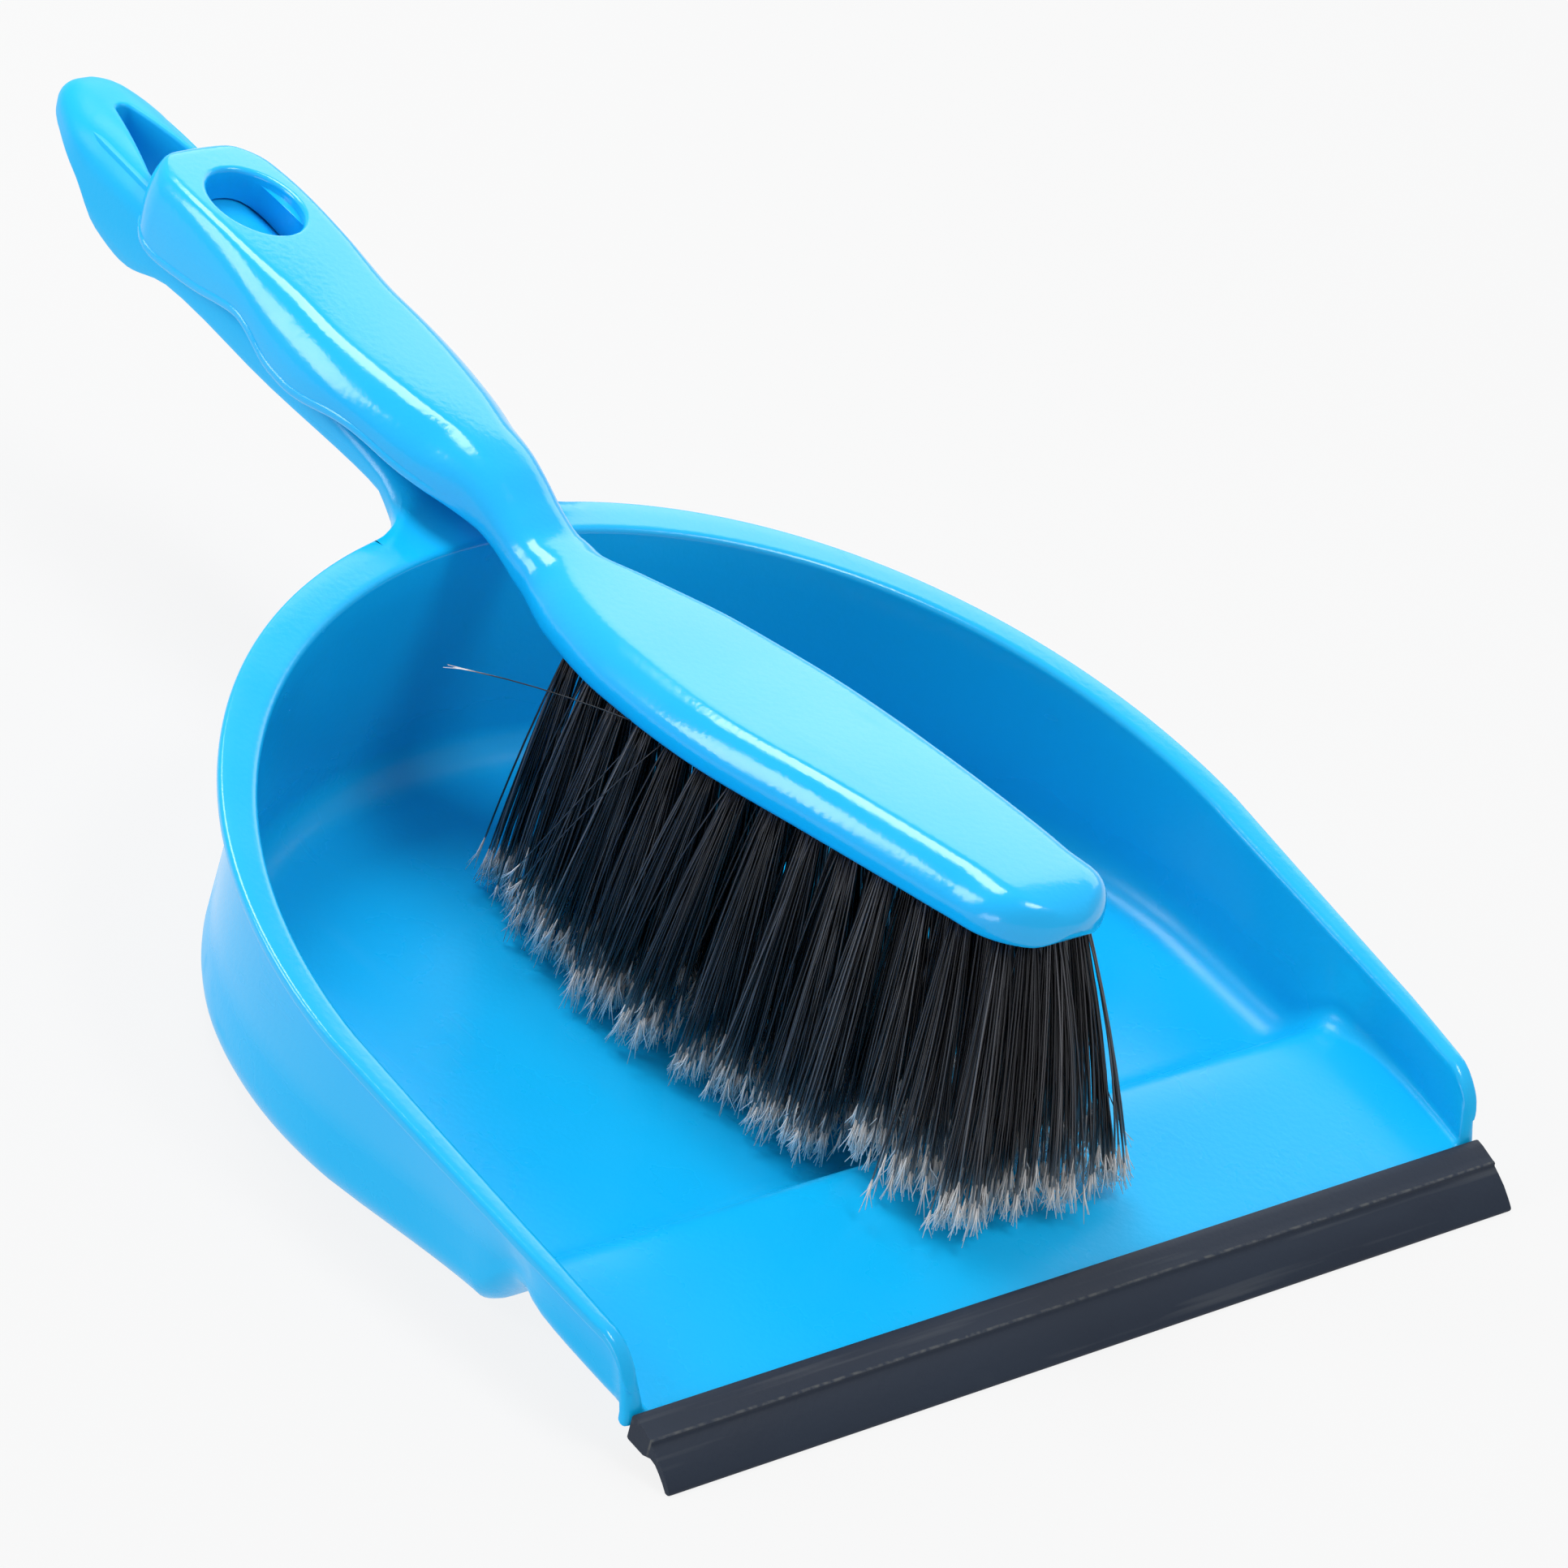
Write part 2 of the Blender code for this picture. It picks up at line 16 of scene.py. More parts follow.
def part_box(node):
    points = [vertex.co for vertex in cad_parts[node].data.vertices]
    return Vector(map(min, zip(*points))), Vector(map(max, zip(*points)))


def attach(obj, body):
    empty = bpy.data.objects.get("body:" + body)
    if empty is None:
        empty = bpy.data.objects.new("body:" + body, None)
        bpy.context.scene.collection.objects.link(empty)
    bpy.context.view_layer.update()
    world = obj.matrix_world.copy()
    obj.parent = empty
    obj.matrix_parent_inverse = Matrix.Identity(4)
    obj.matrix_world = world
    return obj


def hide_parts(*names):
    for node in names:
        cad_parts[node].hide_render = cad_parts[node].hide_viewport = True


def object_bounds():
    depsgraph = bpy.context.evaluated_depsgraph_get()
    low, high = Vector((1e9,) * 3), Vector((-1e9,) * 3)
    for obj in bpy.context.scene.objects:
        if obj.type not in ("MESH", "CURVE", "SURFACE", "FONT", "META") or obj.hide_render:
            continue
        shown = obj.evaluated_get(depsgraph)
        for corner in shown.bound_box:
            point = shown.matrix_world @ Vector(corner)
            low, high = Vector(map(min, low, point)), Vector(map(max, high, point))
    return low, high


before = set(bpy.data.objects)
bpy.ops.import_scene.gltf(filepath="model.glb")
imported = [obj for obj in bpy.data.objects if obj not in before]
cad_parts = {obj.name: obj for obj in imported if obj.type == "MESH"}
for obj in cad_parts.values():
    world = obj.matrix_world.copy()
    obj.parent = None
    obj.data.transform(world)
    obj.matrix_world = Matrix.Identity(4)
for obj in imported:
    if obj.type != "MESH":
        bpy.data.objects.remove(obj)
CAD_LOW, CAD_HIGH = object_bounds()

MM = 0.001
LENGTH = (CAD_HIGH.y - CAD_LOW.y) / MM  # from the lip's tip to the end of the pan's handle
LIP_LOW, LIP_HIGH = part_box("lip_strip")
LIP_WIDTH = (LIP_HIGH.x - LIP_LOW.x) / MM
GAP = 0.3  # between neighbouring pieces

# ---------------------------------------------------------------- the frame's own dimensions

SCOOP_CENTRE = 100.0
MOUTH_HALF_WIDTH = 111.5
MOUTH_BACK = 108.0
SIDE_TAPER = 0.036
RIM_HALF_WIDTH = CAD_HIGH.x / MM
RIM_BACK = 118.0
RIM_THICKNESS = 2.2
FRONT_FLANGE = 3.1
CORNER_FLANGE = 2.7
CORNER_REACH = 10.0  # how far back the flange is narrower than it would be
WALL = 2.3
FILLET = 8.0
SCOOP_FILLET = ((13, 2.0), (40, 2.4), (50, 5.0), (60, FILLET))  # by y, like every such list
# how far the wall's foot stands inside its top
WALL_LEAN = ((14, 1.8), (24, 0.9), (34, 0.5), (42, 1.1), (48, 2.6), (62, 3.4), (100, 0.6),
             (150, -1.2))
RAMP_FRONT = 13.4
RAMP_FRONT_Z = 7.5
RAMP_SLOPE = 0.155
FLOOR_Z = 2.4
RAMP_THICKNESS = 2.2
RIDGE_Y = 7.35
RAMP_LEVELS_AT = 40.0
RAMP_LEVEL_Z = RAMP_FRONT_Z + RAMP_SLOPE * (RAMP_LEVELS_AT - RAMP_FRONT)
FLOOR_TOP = ((RAMP_FRONT, RAMP_FRONT_Z), (RAMP_LEVELS_AT, RAMP_LEVEL_Z), (43, RAMP_LEVEL_Z + 0.42),
             (46, RAMP_LEVEL_Z + 0.7), (49.5, RAMP_LEVEL_Z + 0.78), (52.5, 11.75), (55, 9.9), (58, 6.7),
             (61, 3.8), (64, FLOOR_Z))
FLOOR_UNDER = ((RAMP_FRONT, RAMP_FRONT_Z - RAMP_THICKNESS), (46, 10.4), (50, 9.8), (54, 5.8),
               (57, 1.9), (59.5, 0.0))
TONGUE_TIP = 9.3
TONGUE_SINK = 0.2

PAN_HANDLE_HALF = 12.6  # half the width of its straight part
HANDLE_HALF_WIDTH = ((216.6, 21.2), (219.8, 16.6), (224, 14.2), (232, 12.7), (240, PAN_HANDLE_HALF),
                     (330, PAN_HANDLE_HALF), (340, 12.4), (352, 11.2))
HANDLE_TOP = ((206, 57), (216, 60), (231, 64.5), (306, 80.5), (332, 84.4), (346, 85.8),
              (354, 86.4), (359, 85.4), (LENGTH, 82.4))
HANDLE_UNDER = ((206, 50.5), (225, 55.8), (231, 58.2), (270, 61.2), (306, 65), (320, 62.4),
                (332, 65.2), (342, 72.8), (350, 76.6), (LENGTH, 80.2))
HANDLE_END_ROUND = 19.0
HANDLE_EDGE = 4.0
HANDLE_SHOULDER = 9.5
HANDLE_WALL = 2.2
CHANNEL_END = LENGTH - 5.0  # beyond it the handle's end is solid
SLOT_TIP_CENTRE = 343.6
SLOT_TIP_RADIUS = 2.0
SLOT_WIDE_CENTRE = 322.0
SLOT_WIDE_RADIUS = 7.4

STOCK_TIP = 36.0
STOCK_END = 323.0
TIP_ROUND = 14.0
END_ROUND = 13.0
STOCK_HALF_WIDTH = ((STOCK_TIP, 16), (50, 16.4), (60, 17.4), (90, 20), (122, 22.2), (150, 20.2),
                    (173, 14.9), (188, 9.8), (196, 9.0), (205, 9.8), (230, 15.4), (256, 18.0),
                    (280, 16.8), (302, 16.6), (STOCK_END, 15.6))
STOCK_TOP = ((STOCK_TIP, 76), (58, 75.4), (89, 73.4), (120, 70.4), (150, 68.2), (180, 66.8),
             (190, 67.0), (198, 70), (207, 74.4), (216, 76.9), (260, 82.2), (300, 87.6),
             (STOCK_END, 89.4))
STOCK_UNDER = ((STOCK_TIP, 66.8), (58, 65.4), (160, 57.2), (180, 56.4), (190, 58), (203, 62.5),
               (222, 65.5), (241, 68.4), (256, 67), (264, 67.8), (279, 73), (294, 71.4), (306, 71),
               (STOCK_END, 76))
TOP_EDGE_X = ((STOCK_TIP, 6.2), (168, 6.2), (192, 7.0), (215, 7.6), (262, 7.4), (284, 4.6), (302, 3.8),
              (STOCK_END, 4.4))
TOP_EDGE_Z = ((STOCK_TIP, 7), (168, 6.5), (192, 7.2), (215, 9.5), (300, 11), (STOCK_END, 9))
UNDER_EDGE = ((STOCK_TIP, 3.8), (170, 3.6), (195, 3), (215, 1), (STOCK_END, 1))
HOLLOW_START = 212.0
HOLLOW_END = 319.0
STOCK_WALL = 2.2
HANG_HOLE_Y = 297.8
HANG_HOLE_LENGTH = 24.2
HANG_HOLE_WIDTH = 18.8
COLLAR_WALL = 1.8
COLLAR_GAP = 0.5  # between the collar and the pan's handle under it
HOLE_ROUND = 1.1
BROW_FALL = 28.0  # how steeply the stock's side starts below its top's edge, in degrees
HEM = 0.35  # how far the bead along the handle's lower edge stands out
NEST_GAP = 0.5  # round the pan's handle, in the notch of the stock's end

TUFT_FIRST = 45.5
TUFT_PITCH = 9.4
TUFT_STATIONS = 14
TUFT_EDGE = 6.2
TUFT_ROWS = (-1.0, -1 / 3, 1 / 3, 1.0)
SPLAY_CENTRE = 110.0
SPLAY_ACROSS = ((45, 2.0), (80, 1.5), (130, 1.5), (170, 1.6))
SPLAY_TOE = 1.24
SPLAY_HEEL = 1.0
BRISTLE_CLEARANCE = 2.0

# ---------------------------------------------------------------- curves and meshes


def through(points, at):
    """A smooth curve through (position, value) points that doesn't overshoot them."""
    if at <= points[0][0]:
        return points[0][1]
    if at >= points[-1][0]:
        return points[-1][1]
    count = len(points)
    rises = [(points[i + 1][1] - points[i][1]) / (points[i + 1][0] - points[i][0])
             for i in range(count - 1)]
    i = max(k for k in range(count - 1) if points[k][0] <= at)

    def tangent(k):
        if k == 0 or k == count - 1:
            return rises[min(k, count - 2)]
        before, after = rises[k - 1], rises[k]
        return 0.0 if before * after <= 0 else 2 * before * after / (before + after)

    span = points[i + 1][0] - points[i][0]
    t = (at - points[i][0]) / span
    return ((2 * t**3 - 3 * t**2 + 1) * points[i][1] + (t**3 - 2 * t**2 + t) * span * tangent(i)
            + (3 * t**2 - 2 * t**3) * points[i + 1][1] + (t**3 - t**2) * span * tangent(i + 1))


def round_end(distance, reach):
    """The share of its full width that a rounded end has at this distance from its tip."""
    if distance >= reach:
        return 1.0
    return math.sqrt(max(0.0, 1 - (1 - distance / reach) ** 2))


def smooth(t):
    """Eases from 0 to 1, and stays there on both sides."""
    t = min(1.0, max(0.0, t))
    return t * t * (3 - 2 * t)


def mix(a, b, share):
    """The value a share of the way from a to b."""
    return a + (b - a) * share


def spread(first, last, steps):
    """Evenly spaced values, both ends included."""
    return [first + (last - first) * k / steps for k in range(steps + 1)]


def bend(start, corner, end, steps):
    """Points along a quadratic curve, without its start."""
    made = []
    for k in range(1, steps + 1):
        t = k / steps
        made.append(tuple((1 - t) ** 2 * a + 2 * t * (1 - t) * b + t * t * c
                          for a, b, c in zip(start, corner, end)))
    return made


class Surface:
    """Gathers rows of points and the faces between them, and welds them into one mesh."""

    def __init__(self):
        self.points = []
        self.faces = []

    def row(self, points):
        first = len(self.points)
        self.points.extend(points)
        return list(range(first, len(self.points)))

    def quad(self, *corners):
        self.faces.append(corners)

    def strip(self, a, b, closed=False, skip_middle=False):
        """Faces between two rows of equal length; skip_middle leaves out those on the plane x = 0."""
        count = len(a)
        for k in range(count if closed else count - 1):
            corners = (a[k], a[(k + 1) % count], b[(k + 1) % count], b[k])
            if skip_middle and all(abs(self.points[c][0]) < 1e-6 for c in corners):
                continue
            self.faces.append(corners)

    def loft(self, rows, before=None):
        """Joins closed rows one after another, and returns the last."""
        for row in rows:
            if before:
                self.strip(before, row, closed=True)
            before = row
        return before

    def loft_halves(self, pairs):
        """Joins sections that a hole parts into two closed rows each."""
        for pair, following in zip(pairs, pairs[1:]):
            for a, b in zip(pair, following):
                self.strip(a, b, closed=True, skip_middle=True)

    def cap(self, row):
        self.faces.append(tuple(row))

    def build(self, name, sharp=40.0):
        """Makes the object, with edges sharper than this many degrees left unsmoothed."""
        mesh = bmesh.new()
        made = [mesh.verts.new((x * MM, (y - LENGTH / 2) * MM, z * MM)) for x, y, z in self.points]
        for corners in self.faces:
            if len(set(corners)) == len(corners):
                mesh.faces.new([made[c] for c in corners])
        bmesh.ops.remove_doubles(mesh, verts=mesh.verts, dist=4e-6)
        bmesh.ops.dissolve_degenerate(mesh, dist=1e-6, edges=mesh.edges)
        loose = [vert for vert in mesh.verts if not vert.link_faces]
        bmesh.ops.delete(mesh, geom=loose, context="VERTS")
        bmesh.ops.recalc_face_normals(mesh, faces=mesh.faces)
        data = bpy.data.meshes.new(name)
        mesh.to_mesh(data)
        mesh.free()
        data.shade_smooth()
        data.set_sharp_from_angle(angle=math.radians(sharp))
        obj = bpy.data.objects.new(name, data)
        bpy.context.scene.collection.objects.link(obj)
        return obj


# ---------------------------------------------------------------- the pan

FLOOR_SHARES = (0.0, 0.2, 0.4, 0.6, 0.75, 0.88, 1.0)  # where a section's points lie on the flat floor
TURNS = 132  # steps round the back of the scoop
FRONT_LEAN = 0.35
FRONT_LEAN_REACH = 27.0
NOSE = 1.0  # the length of the rounded front end of the side walls
HANDLE_ROOT_HALF = 27.0  # the rim runs into the handle over this half width
RIM_TILT = 0.09
RIM_CURL = 0.9  # the radius of the rim's outer edge
FLANGE_ROOT = 1.9  # how far out the flange's underside starts
RIM_CORNER = 7.0  # how far the rim is rounded down to its front end
SLOT_ROUND = 0.9
SLOT_DEPTH = 17.0
SLOT_COLLAR = 1.6
ROOT_START = 213.5  # where the rim starts to rise into the handle
ROOT_LENGTH = 12.5
ROOT_SIDES = ((217, 216.6), (220, 219.8), (224, 224))


def rim_height(y):
    """The height of the rim, which rises a little more steeply towards the back."""
    return 18.2 + 0.15 * y + 0.00015 * y * y


def front_wall_shift(y, height):
    """How far back the side wall leans at its front end, by height above the ramp."""
    fade = max(0.0, 1 - (y - RAMP_FRONT) / FRONT_LEAN_REACH)
    return fade * FRONT_LEAN * max(0.0, height)


def scoop_profile(width, flange, y):
    """(distance from the middle, z) points: the inner skin out to the rim, its edge, the outer skin."""
    top, under, rim = through(FLOOR_TOP, y), through(FLOOR_UNDER, y), rim_height(y)
    rim -= RIM_CORNER * (1 - round_end(y - RAMP_FRONT, RIM_CORNER))
    lower = rim - RIM_THICKNESS
    fillet = through(SCOOP_FILLET, y)
    turn = min(FILLET, fillet + RAMP_THICKNESS)
    foot = width - through(WALL_LEAN, y)
    edge = width + flange
    arc = [math.radians(degrees) for degrees in range(10, 91, 10)]

    inner = [((foot - fillet) * share, top) for share in FLOOR_SHARES]
    inner += [(foot - fillet * (1 - math.sin(a)), top + fillet * (1 - math.cos(a))) for a in arc]
    brow = (width - 0.5, rim - 2.0)
    inner += [(mix(foot, brow[0], t), mix(top + fillet, brow[1], t)) for t in spread(0, 1, 6)[1:]]
    rounded = width + min(1.5, 0.4 * flange)
    tilt = RIM_TILT * max(0.0, flange - 2.4)
    inner += bend(brow, (width - 0.4, rim - tilt), (rounded, rim - 0.8 * tilt), 6)
    inner.append((width + 0.55 * flange, rim - 0.35 * tilt))

    low_curl = 0.6 * min(1.0, (flange - FLANGE_ROOT) / 2)
    band = [(edge - RIM_CURL + RIM_CURL * math.sin(a), rim - RIM_CURL + RIM_CURL * math.cos(a))
            for a in spread(0, math.pi / 2, 5)]
    band += [(edge, rim - 1.15), (edge, rim - 1.4), (edge, lower + 0.6)]
    band += bend((edge, lower + 0.6), (edge, lower), (edge - low_curl, lower), 3)
    under_rim = width + FLANGE_ROOT + 0.45 * (flange - FLANGE_ROOT)
    start = band[-1][0]
    band += [(mix(start, under_rim, t), lower) for t in (0.25, 0.5, 0.75)]

    wall_top = (width + 1.8, lower - 1.6)
    outer = [(under_rim, lower)]
    outer += bend((mix(under_rim, wall_top[0], 0.2), lower), (wall_top[0], lower), wall_top, 6)
    outer += [(mix(wall_top[0], foot + WALL, t), mix(wall_top[1], under + turn, t))
              for t in spread(0, 1, 6)[1:]]
    outer += [(foot + WALL - turn * (1 - math.sin(a)), under + turn * (1 - math.cos(a)))
              for a in [*reversed(arc[:-1]), arc[0] / 2]]
    outer += [((foot + WALL - turn) * share, under) for share in reversed(FLOOR_SHARES)]
    # at the front the flange turns down the wall's end
    down = 1 - smooth((y - RAMP_FRONT - 2) / 2.5)
    outer = [(mix(r, edge - RIM_CURL, down) if z > under + 0.25 else r, z) for r, z in outer]
    return inner, band, outer


def side_stations():
    """Where the sections of a side wall lie, closest at its front end and at the ramp's step."""
    behind = (1.0, 1.6, 2.5, 4, 6, 8.5, 11.5, 15, 19, 23, 27, 30.5, 33, 34.6, 36, 37.2, 38.2, 39.2,
              40.2, 41.2, 42.2, 43.2, 44.2, 45.2, 46.2, 47.4, 48.8, 50.6, 53, 56, 60, 65, 71, 78)
    return [RAMP_FRONT + step for step in behind]


def scoop_columns():
    """For each column, from the front left round to the front right: its three runs of points."""
    left = []

    def column(y, thick, floor_y=None, floor_thick=1.0):
        """The left wall's section at y, thinned to shares of its thickness, its floor moved to floor_y."""
        width = MOUTH_HALF_WIDTH - SIDE_TAPER * (SCOOP_CENTRE - y)
        share = (y - RAMP_FRONT) / (SCOOP_CENTRE - RAMP_FRONT)
        flange = FRONT_FLANGE + (RIM_HALF_WIDTH - MOUTH_HALF_WIDTH - FRONT_FLANGE) * max(0, share)**0.7
        flange = mix(CORNER_FLANGE, flange, round_end(y - RAMP_FRONT, CORNER_REACH))
        inner, band, outer = scoop_profile(width, flange, max(y, RAMP_FRONT))
        ramp = through(FLOOR_TOP, y)
        facing = outer[::-1]
        runs = [[], [], []]
        for k, (near, far) in enumerate(zip(inner, facing)):
            flat = k < len(FLOOR_SHARES)
            keep = floor_thick if flat else thick
            middle = ((near[0] + far[0]) / 2, (near[1] + far[1]) / 2)
            at = floor_y if flat and floor_y is not None else y
            for run, point in ((0, near), (2, far)):
                r, z = (mix(middle[axis], point[axis], keep) for axis in (0, 1))
                if flat and floor_y is not None:
                    z -= RAMP_SLOPE * (y - floor_y)
                runs[run].append((-r, at + front_wall_shift(at, z - ramp), z))
        runs[2].reverse()
        end = tuple((a + b) / 2 for a, b in zip(inner[-1], outer[0]))
        for point in band:
            r, z = (mix(end[axis], point[axis], thick) for axis in (0, 1))
            runs[1].append((-r, y + front_wall_shift(y, z - ramp), z))
        return runs

    tongue = 1 - 2 * TONGUE_SINK / RAMP_THICKNESS
    left.append(column(RAMP_FRONT, 0.0, TONGUE_TIP, tongue))
    left.append(column(RAMP_FRONT, 0.0, RAMP_FRONT, tongue))
    for degrees in (68, 45, 22):
        angle = math.radians(degrees)
        y = RAMP_FRONT + NOSE * (1 - math.sin(angle))
        left.append(column(y, math.cos(angle), RAMP_FRONT + 0.2 * math.cos(angle)))
    for y in side_stations():
        left.append(column(y, 1.0))

    columns = list(left)
    for turn in range(TURNS + 1):
        angle = math.pi * turn / TURNS
        side, back = -math.cos(angle), math.sin(angle)
        mouth = MOUTH_HALF_WIDTH * MOUTH_BACK / math.hypot(MOUTH_BACK * side, MOUTH_HALF_WIDTH * back)
        rim = RIM_HALF_WIDTH * RIM_BACK / math.hypot(RIM_BACK * side, RIM_HALF_WIDTH * back)
        runs = scoop_profile(mouth, rim - mouth, SCOOP_CENTRE + rim * back)
        columns.append([[(r * side, SCOOP_CENTRE + r * back, z) for r, z in run] for run in runs])
    columns += [[[(-x, y, z) for x, y, z in run] for run in runs] for runs in reversed(left)]
    return columns, len(left)


def slot_half(y, grow):
    """Half the hang slot's width at y, with its outline moved out by grow."""
    wide, tip = SLOT_WIDE_RADIUS + grow, SLOT_TIP_RADIUS + grow
    taper = math.asin((wide - tip) / (SLOT_TIP_CENTRE - SLOT_WIDE_CENTRE))
    first, last = SLOT_WIDE_CENTRE + wide * math.sin(taper), SLOT_TIP_CENTRE + tip * math.sin(taper)
    if y <= SLOT_WIDE_CENTRE - wide or y >= SLOT_TIP_CENTRE + tip:
        return 0.0
    if y < first:
        return math.sqrt(wide**2 - (y - SLOT_WIDE_CENTRE) ** 2)
    if y < last:
        return mix(wide, tip, (y - first) / (last - first)) * math.cos(taper)
    return math.sqrt(tip**2 - (y - SLOT_TIP_CENTRE) ** 2)


def hole_half(y, grow):
    """Half the brush's hang hole's width at y, with its outline moved out by grow."""
    along, across = HANG_HOLE_LENGTH / 2 + grow, HANG_HOLE_WIDTH / 2 + grow
    share = abs(y - HANG_HOLE_Y) / along
    return 0.0 if share >= 1 else across * math.sqrt(1 - share**2)


def well(y, outline, ends, top, ceiling, rounding, depth, wall):
    """Half a section through a hole with a rounded edge and a collar, from the top skin inwards."""
    past = max(ends[0] - y, y - ends[1], 0.0)
    points = []
    for degrees in (0, 18, 36, 54, 72, 90):
        angle = math.radians(degrees)
        x = outline(y, rounding * (1 - math.sin(angle)))
        drop = rounding * (1 - math.cos(angle))
        if x <= 0:
            reach = max(0.0, rounding - past)
            drop = min(drop, rounding - math.sqrt(rounding**2 - reach**2))
        points.append((x, top - drop))
    x, high = points[-1]
    points += [(x, mix(high, top - depth, 0.5)), (x, top - depth)]
    out = outline(y, wall)
    points += [(out, top - depth), (out, min(ceiling, top - depth + 0.5)), (out, ceiling)]
    return points


def beside_hole(y, hole, shares, skin_edge, skin_height, roof_edge, ceiling, side):
    """The right and the left half of a section that a hole parts."""
    outwards = [abs(share) for share in shares[len(shares) // 2:]]
    skin = [mix(hole[0][0], skin_edge, share) for share in outwards]
    roof = [mix(hole[-1][0], max(roof_edge, hole[-1][0] + 0.05), share) for share in outwards]
    right = [(x, y, skin_height(x)) for x in skin] + side
    right += [(x, y, ceiling) for x in reversed(roof)]
    right += [(x, y, z) for x, z in reversed(hole[1:-1])]
    return right, [(-x, at, z) for x, at, z in right]


SKIN_ANGLE = math.radians(48)  # how far round its shoulder the handle's top skin reaches


def handle_section(y, ends):
    """One cross-section of the pan's handle: its top skin's half width, heights and right side."""
    share = smooth((y - ROOT_START) / ROOT_LENGTH)
    if y > ROOT_SIDES[-1][0]:
        side_y = y
    else:
        side_y = through(((ROOT_START, ends["edge_y"]), *ROOT_SIDES), y)
    half = through(((ends["edge_y"], ends["edge_x"]), *HANDLE_HALF_WIDTH), side_y)
    half = max(0.6, half * round_end(LENGTH - y, HANDLE_END_ROUND))
    top = mix(ends["rim"], through(HANDLE_TOP, y), share)
    under = mix(ends["rim"] - RIM_THICKNESS, through(HANDLE_UNDER, y), share)
    curl = min(mix(RIM_CURL, HANDLE_SHOULDER, share), 0.8 * half)
    drop = min(curl, 0.62 * (top - under))
    skin = half - curl * (1 - math.sin(SKIN_ANGLE))
    sag = ends["sag"] * (1 - smooth((y - ROOT_START) / 6))
    ceiling = under if y > CHANNEL_END else max(under, top - HANDLE_WALL)
    wall = min(HANDLE_WALL, 0.45 * half)
    low = min(0.8, 0.3 * (top - under), 0.4 * wall)
    top_y = y - sag
    side = []
    for angle in spread(SKIN_ANGLE, math.pi / 2, 6):
        side.append((half - curl * (1 - math.sin(angle)), mix(top_y, side_y, math.sin(angle)),
                     top - drop * (1 - math.cos(angle))))
    side += [(half, side_y, mix(top - drop, under + low, t)) for t in (0.4, 0.8)]
    side += [(half, side_y, under + low), (half - 0.3 * low, side_y, under + 0.3 * low),
             (half - low, side_y, under), (half - wall + low, side_y, under)]
    side += [(half - wall, side_y, min(under + low, ceiling)),
             (half - wall, side_y, max(min(ceiling, under), ceiling - 1.2)),
             (half - wall - 0.35, mix(top_y, side_y, 0.5), ceiling - 0.35 * min(1, ceiling - under))]
    return {"flat": half - curl, "curl": curl, "drop": drop, "skin": skin, "top": top,
            "inner": max(0.2, half - wall - 1.2), "ceiling": ceiling, "sag": sag, "side": side}


def handle_top(section, x):
    """The height of the handle's top skin at a distance x from its middle."""
    past = max(0.0, abs(x) - section["flat"]) / section["curl"]
    return section["top"] - section["drop"] * (1 - math.sqrt(max(0.0, 1 - past * past)))


def add_handle(surface, columns, rows, first, last):
    """Carries the rim's top and underside on as the handle, from the columns first to last."""
    middle = (first + last) // 2
    edge = columns[last]
    reach = edge[0][-1][0]
    shares = [columns[c][0][-1][0] / reach for c in range(first, last + 1)]
    widest = max(edge[1], key=lambda point: point[0])
    ends = {"edge_x": widest[0], "edge_y": widest[1], "rim": columns[middle][0][-1][2],
            "sag": columns[middle][0][-1][1] - edge[0][-1][1]}

    tops = [rows[c][0][-1] for c in range(first, last + 1)]
    ceilings = [rows[c][2][0] for c in range(first, last + 1)]
    root = tops + rows[last][1] + ceilings[::-1] + rows[first][1][::-1]

    low, high = SLOT_WIDE_CENTRE - SLOT_WIDE_RADIUS, SLOT_TIP_CENTRE + SLOT_TIP_RADIUS
    below_slot = [215, 216.4, 217.8, 219.2, 220.8, 222.6, 224.6, 227, 230, 234, 239, 245, 252, 260,
                  268, 276, 284, 292, 300, 306, 310]
    along_slot = [low - SLOT_COLLAR, low - 1.2, low - SLOT_ROUND, low - 0.5, low, low + 0.4, low + 1.2,
                  low + 2.6, low + 4.6, low + 7.4, 324, 326.5, 329, 331.5, 334, 336.5, 339, 341, 342.6,
                  343.6, 344.4, 344.9, 345.3, high, high + 0.3, high + 0.6, high + SLOT_ROUND,
                  high + 1.2, high + SLOT_COLLAR]
    past_slot = [348.4, 350, 352, 354, 356, 357, 358, 359, 359.8, 360.5, 361, 361.4, 361.7, 361.9, LENGTH]

    def whole_ring(y):
        section = handle_section(y, ends)
        ring = []
        for share in shares:
            x = share * section["skin"]
            ring.append((x, y - section["sag"] * share**2, handle_top(section, x)))
        ring += section["side"]
        for share in reversed(shares):
            ring.append((share * section["inner"], y - section["sag"] * share**2, section["ceiling"]))
        return surface.row(ring + [(-x, y_side, z) for x, y_side, z in reversed(section["side"])])

    def parted_rings(y):
        section = handle_section(y, ends)
        edge_top = handle_top(section, slot_half(y, SLOT_ROUND))
        hole = well(y, slot_half, (low, high), edge_top, section["ceiling"], SLOT_ROUND, SLOT_DEPTH,
                    SLOT_COLLAR)
        halves = beside_hole(y, hole, shares, section["skin"], lambda x: handle_top(section, x),
                             section["inner"], section["ceiling"], section["side"])
        return [surface.row(half) for half in halves]

    surface.loft([whole_ring(y) for y in [*below_slot, along_slot[0]]], root)
    surface.loft_halves([parted_rings(y) for y in along_slot])
    surface.cap(surface.loft([whole_ring(y) for y in [along_slot[-1], *past_slot]]))


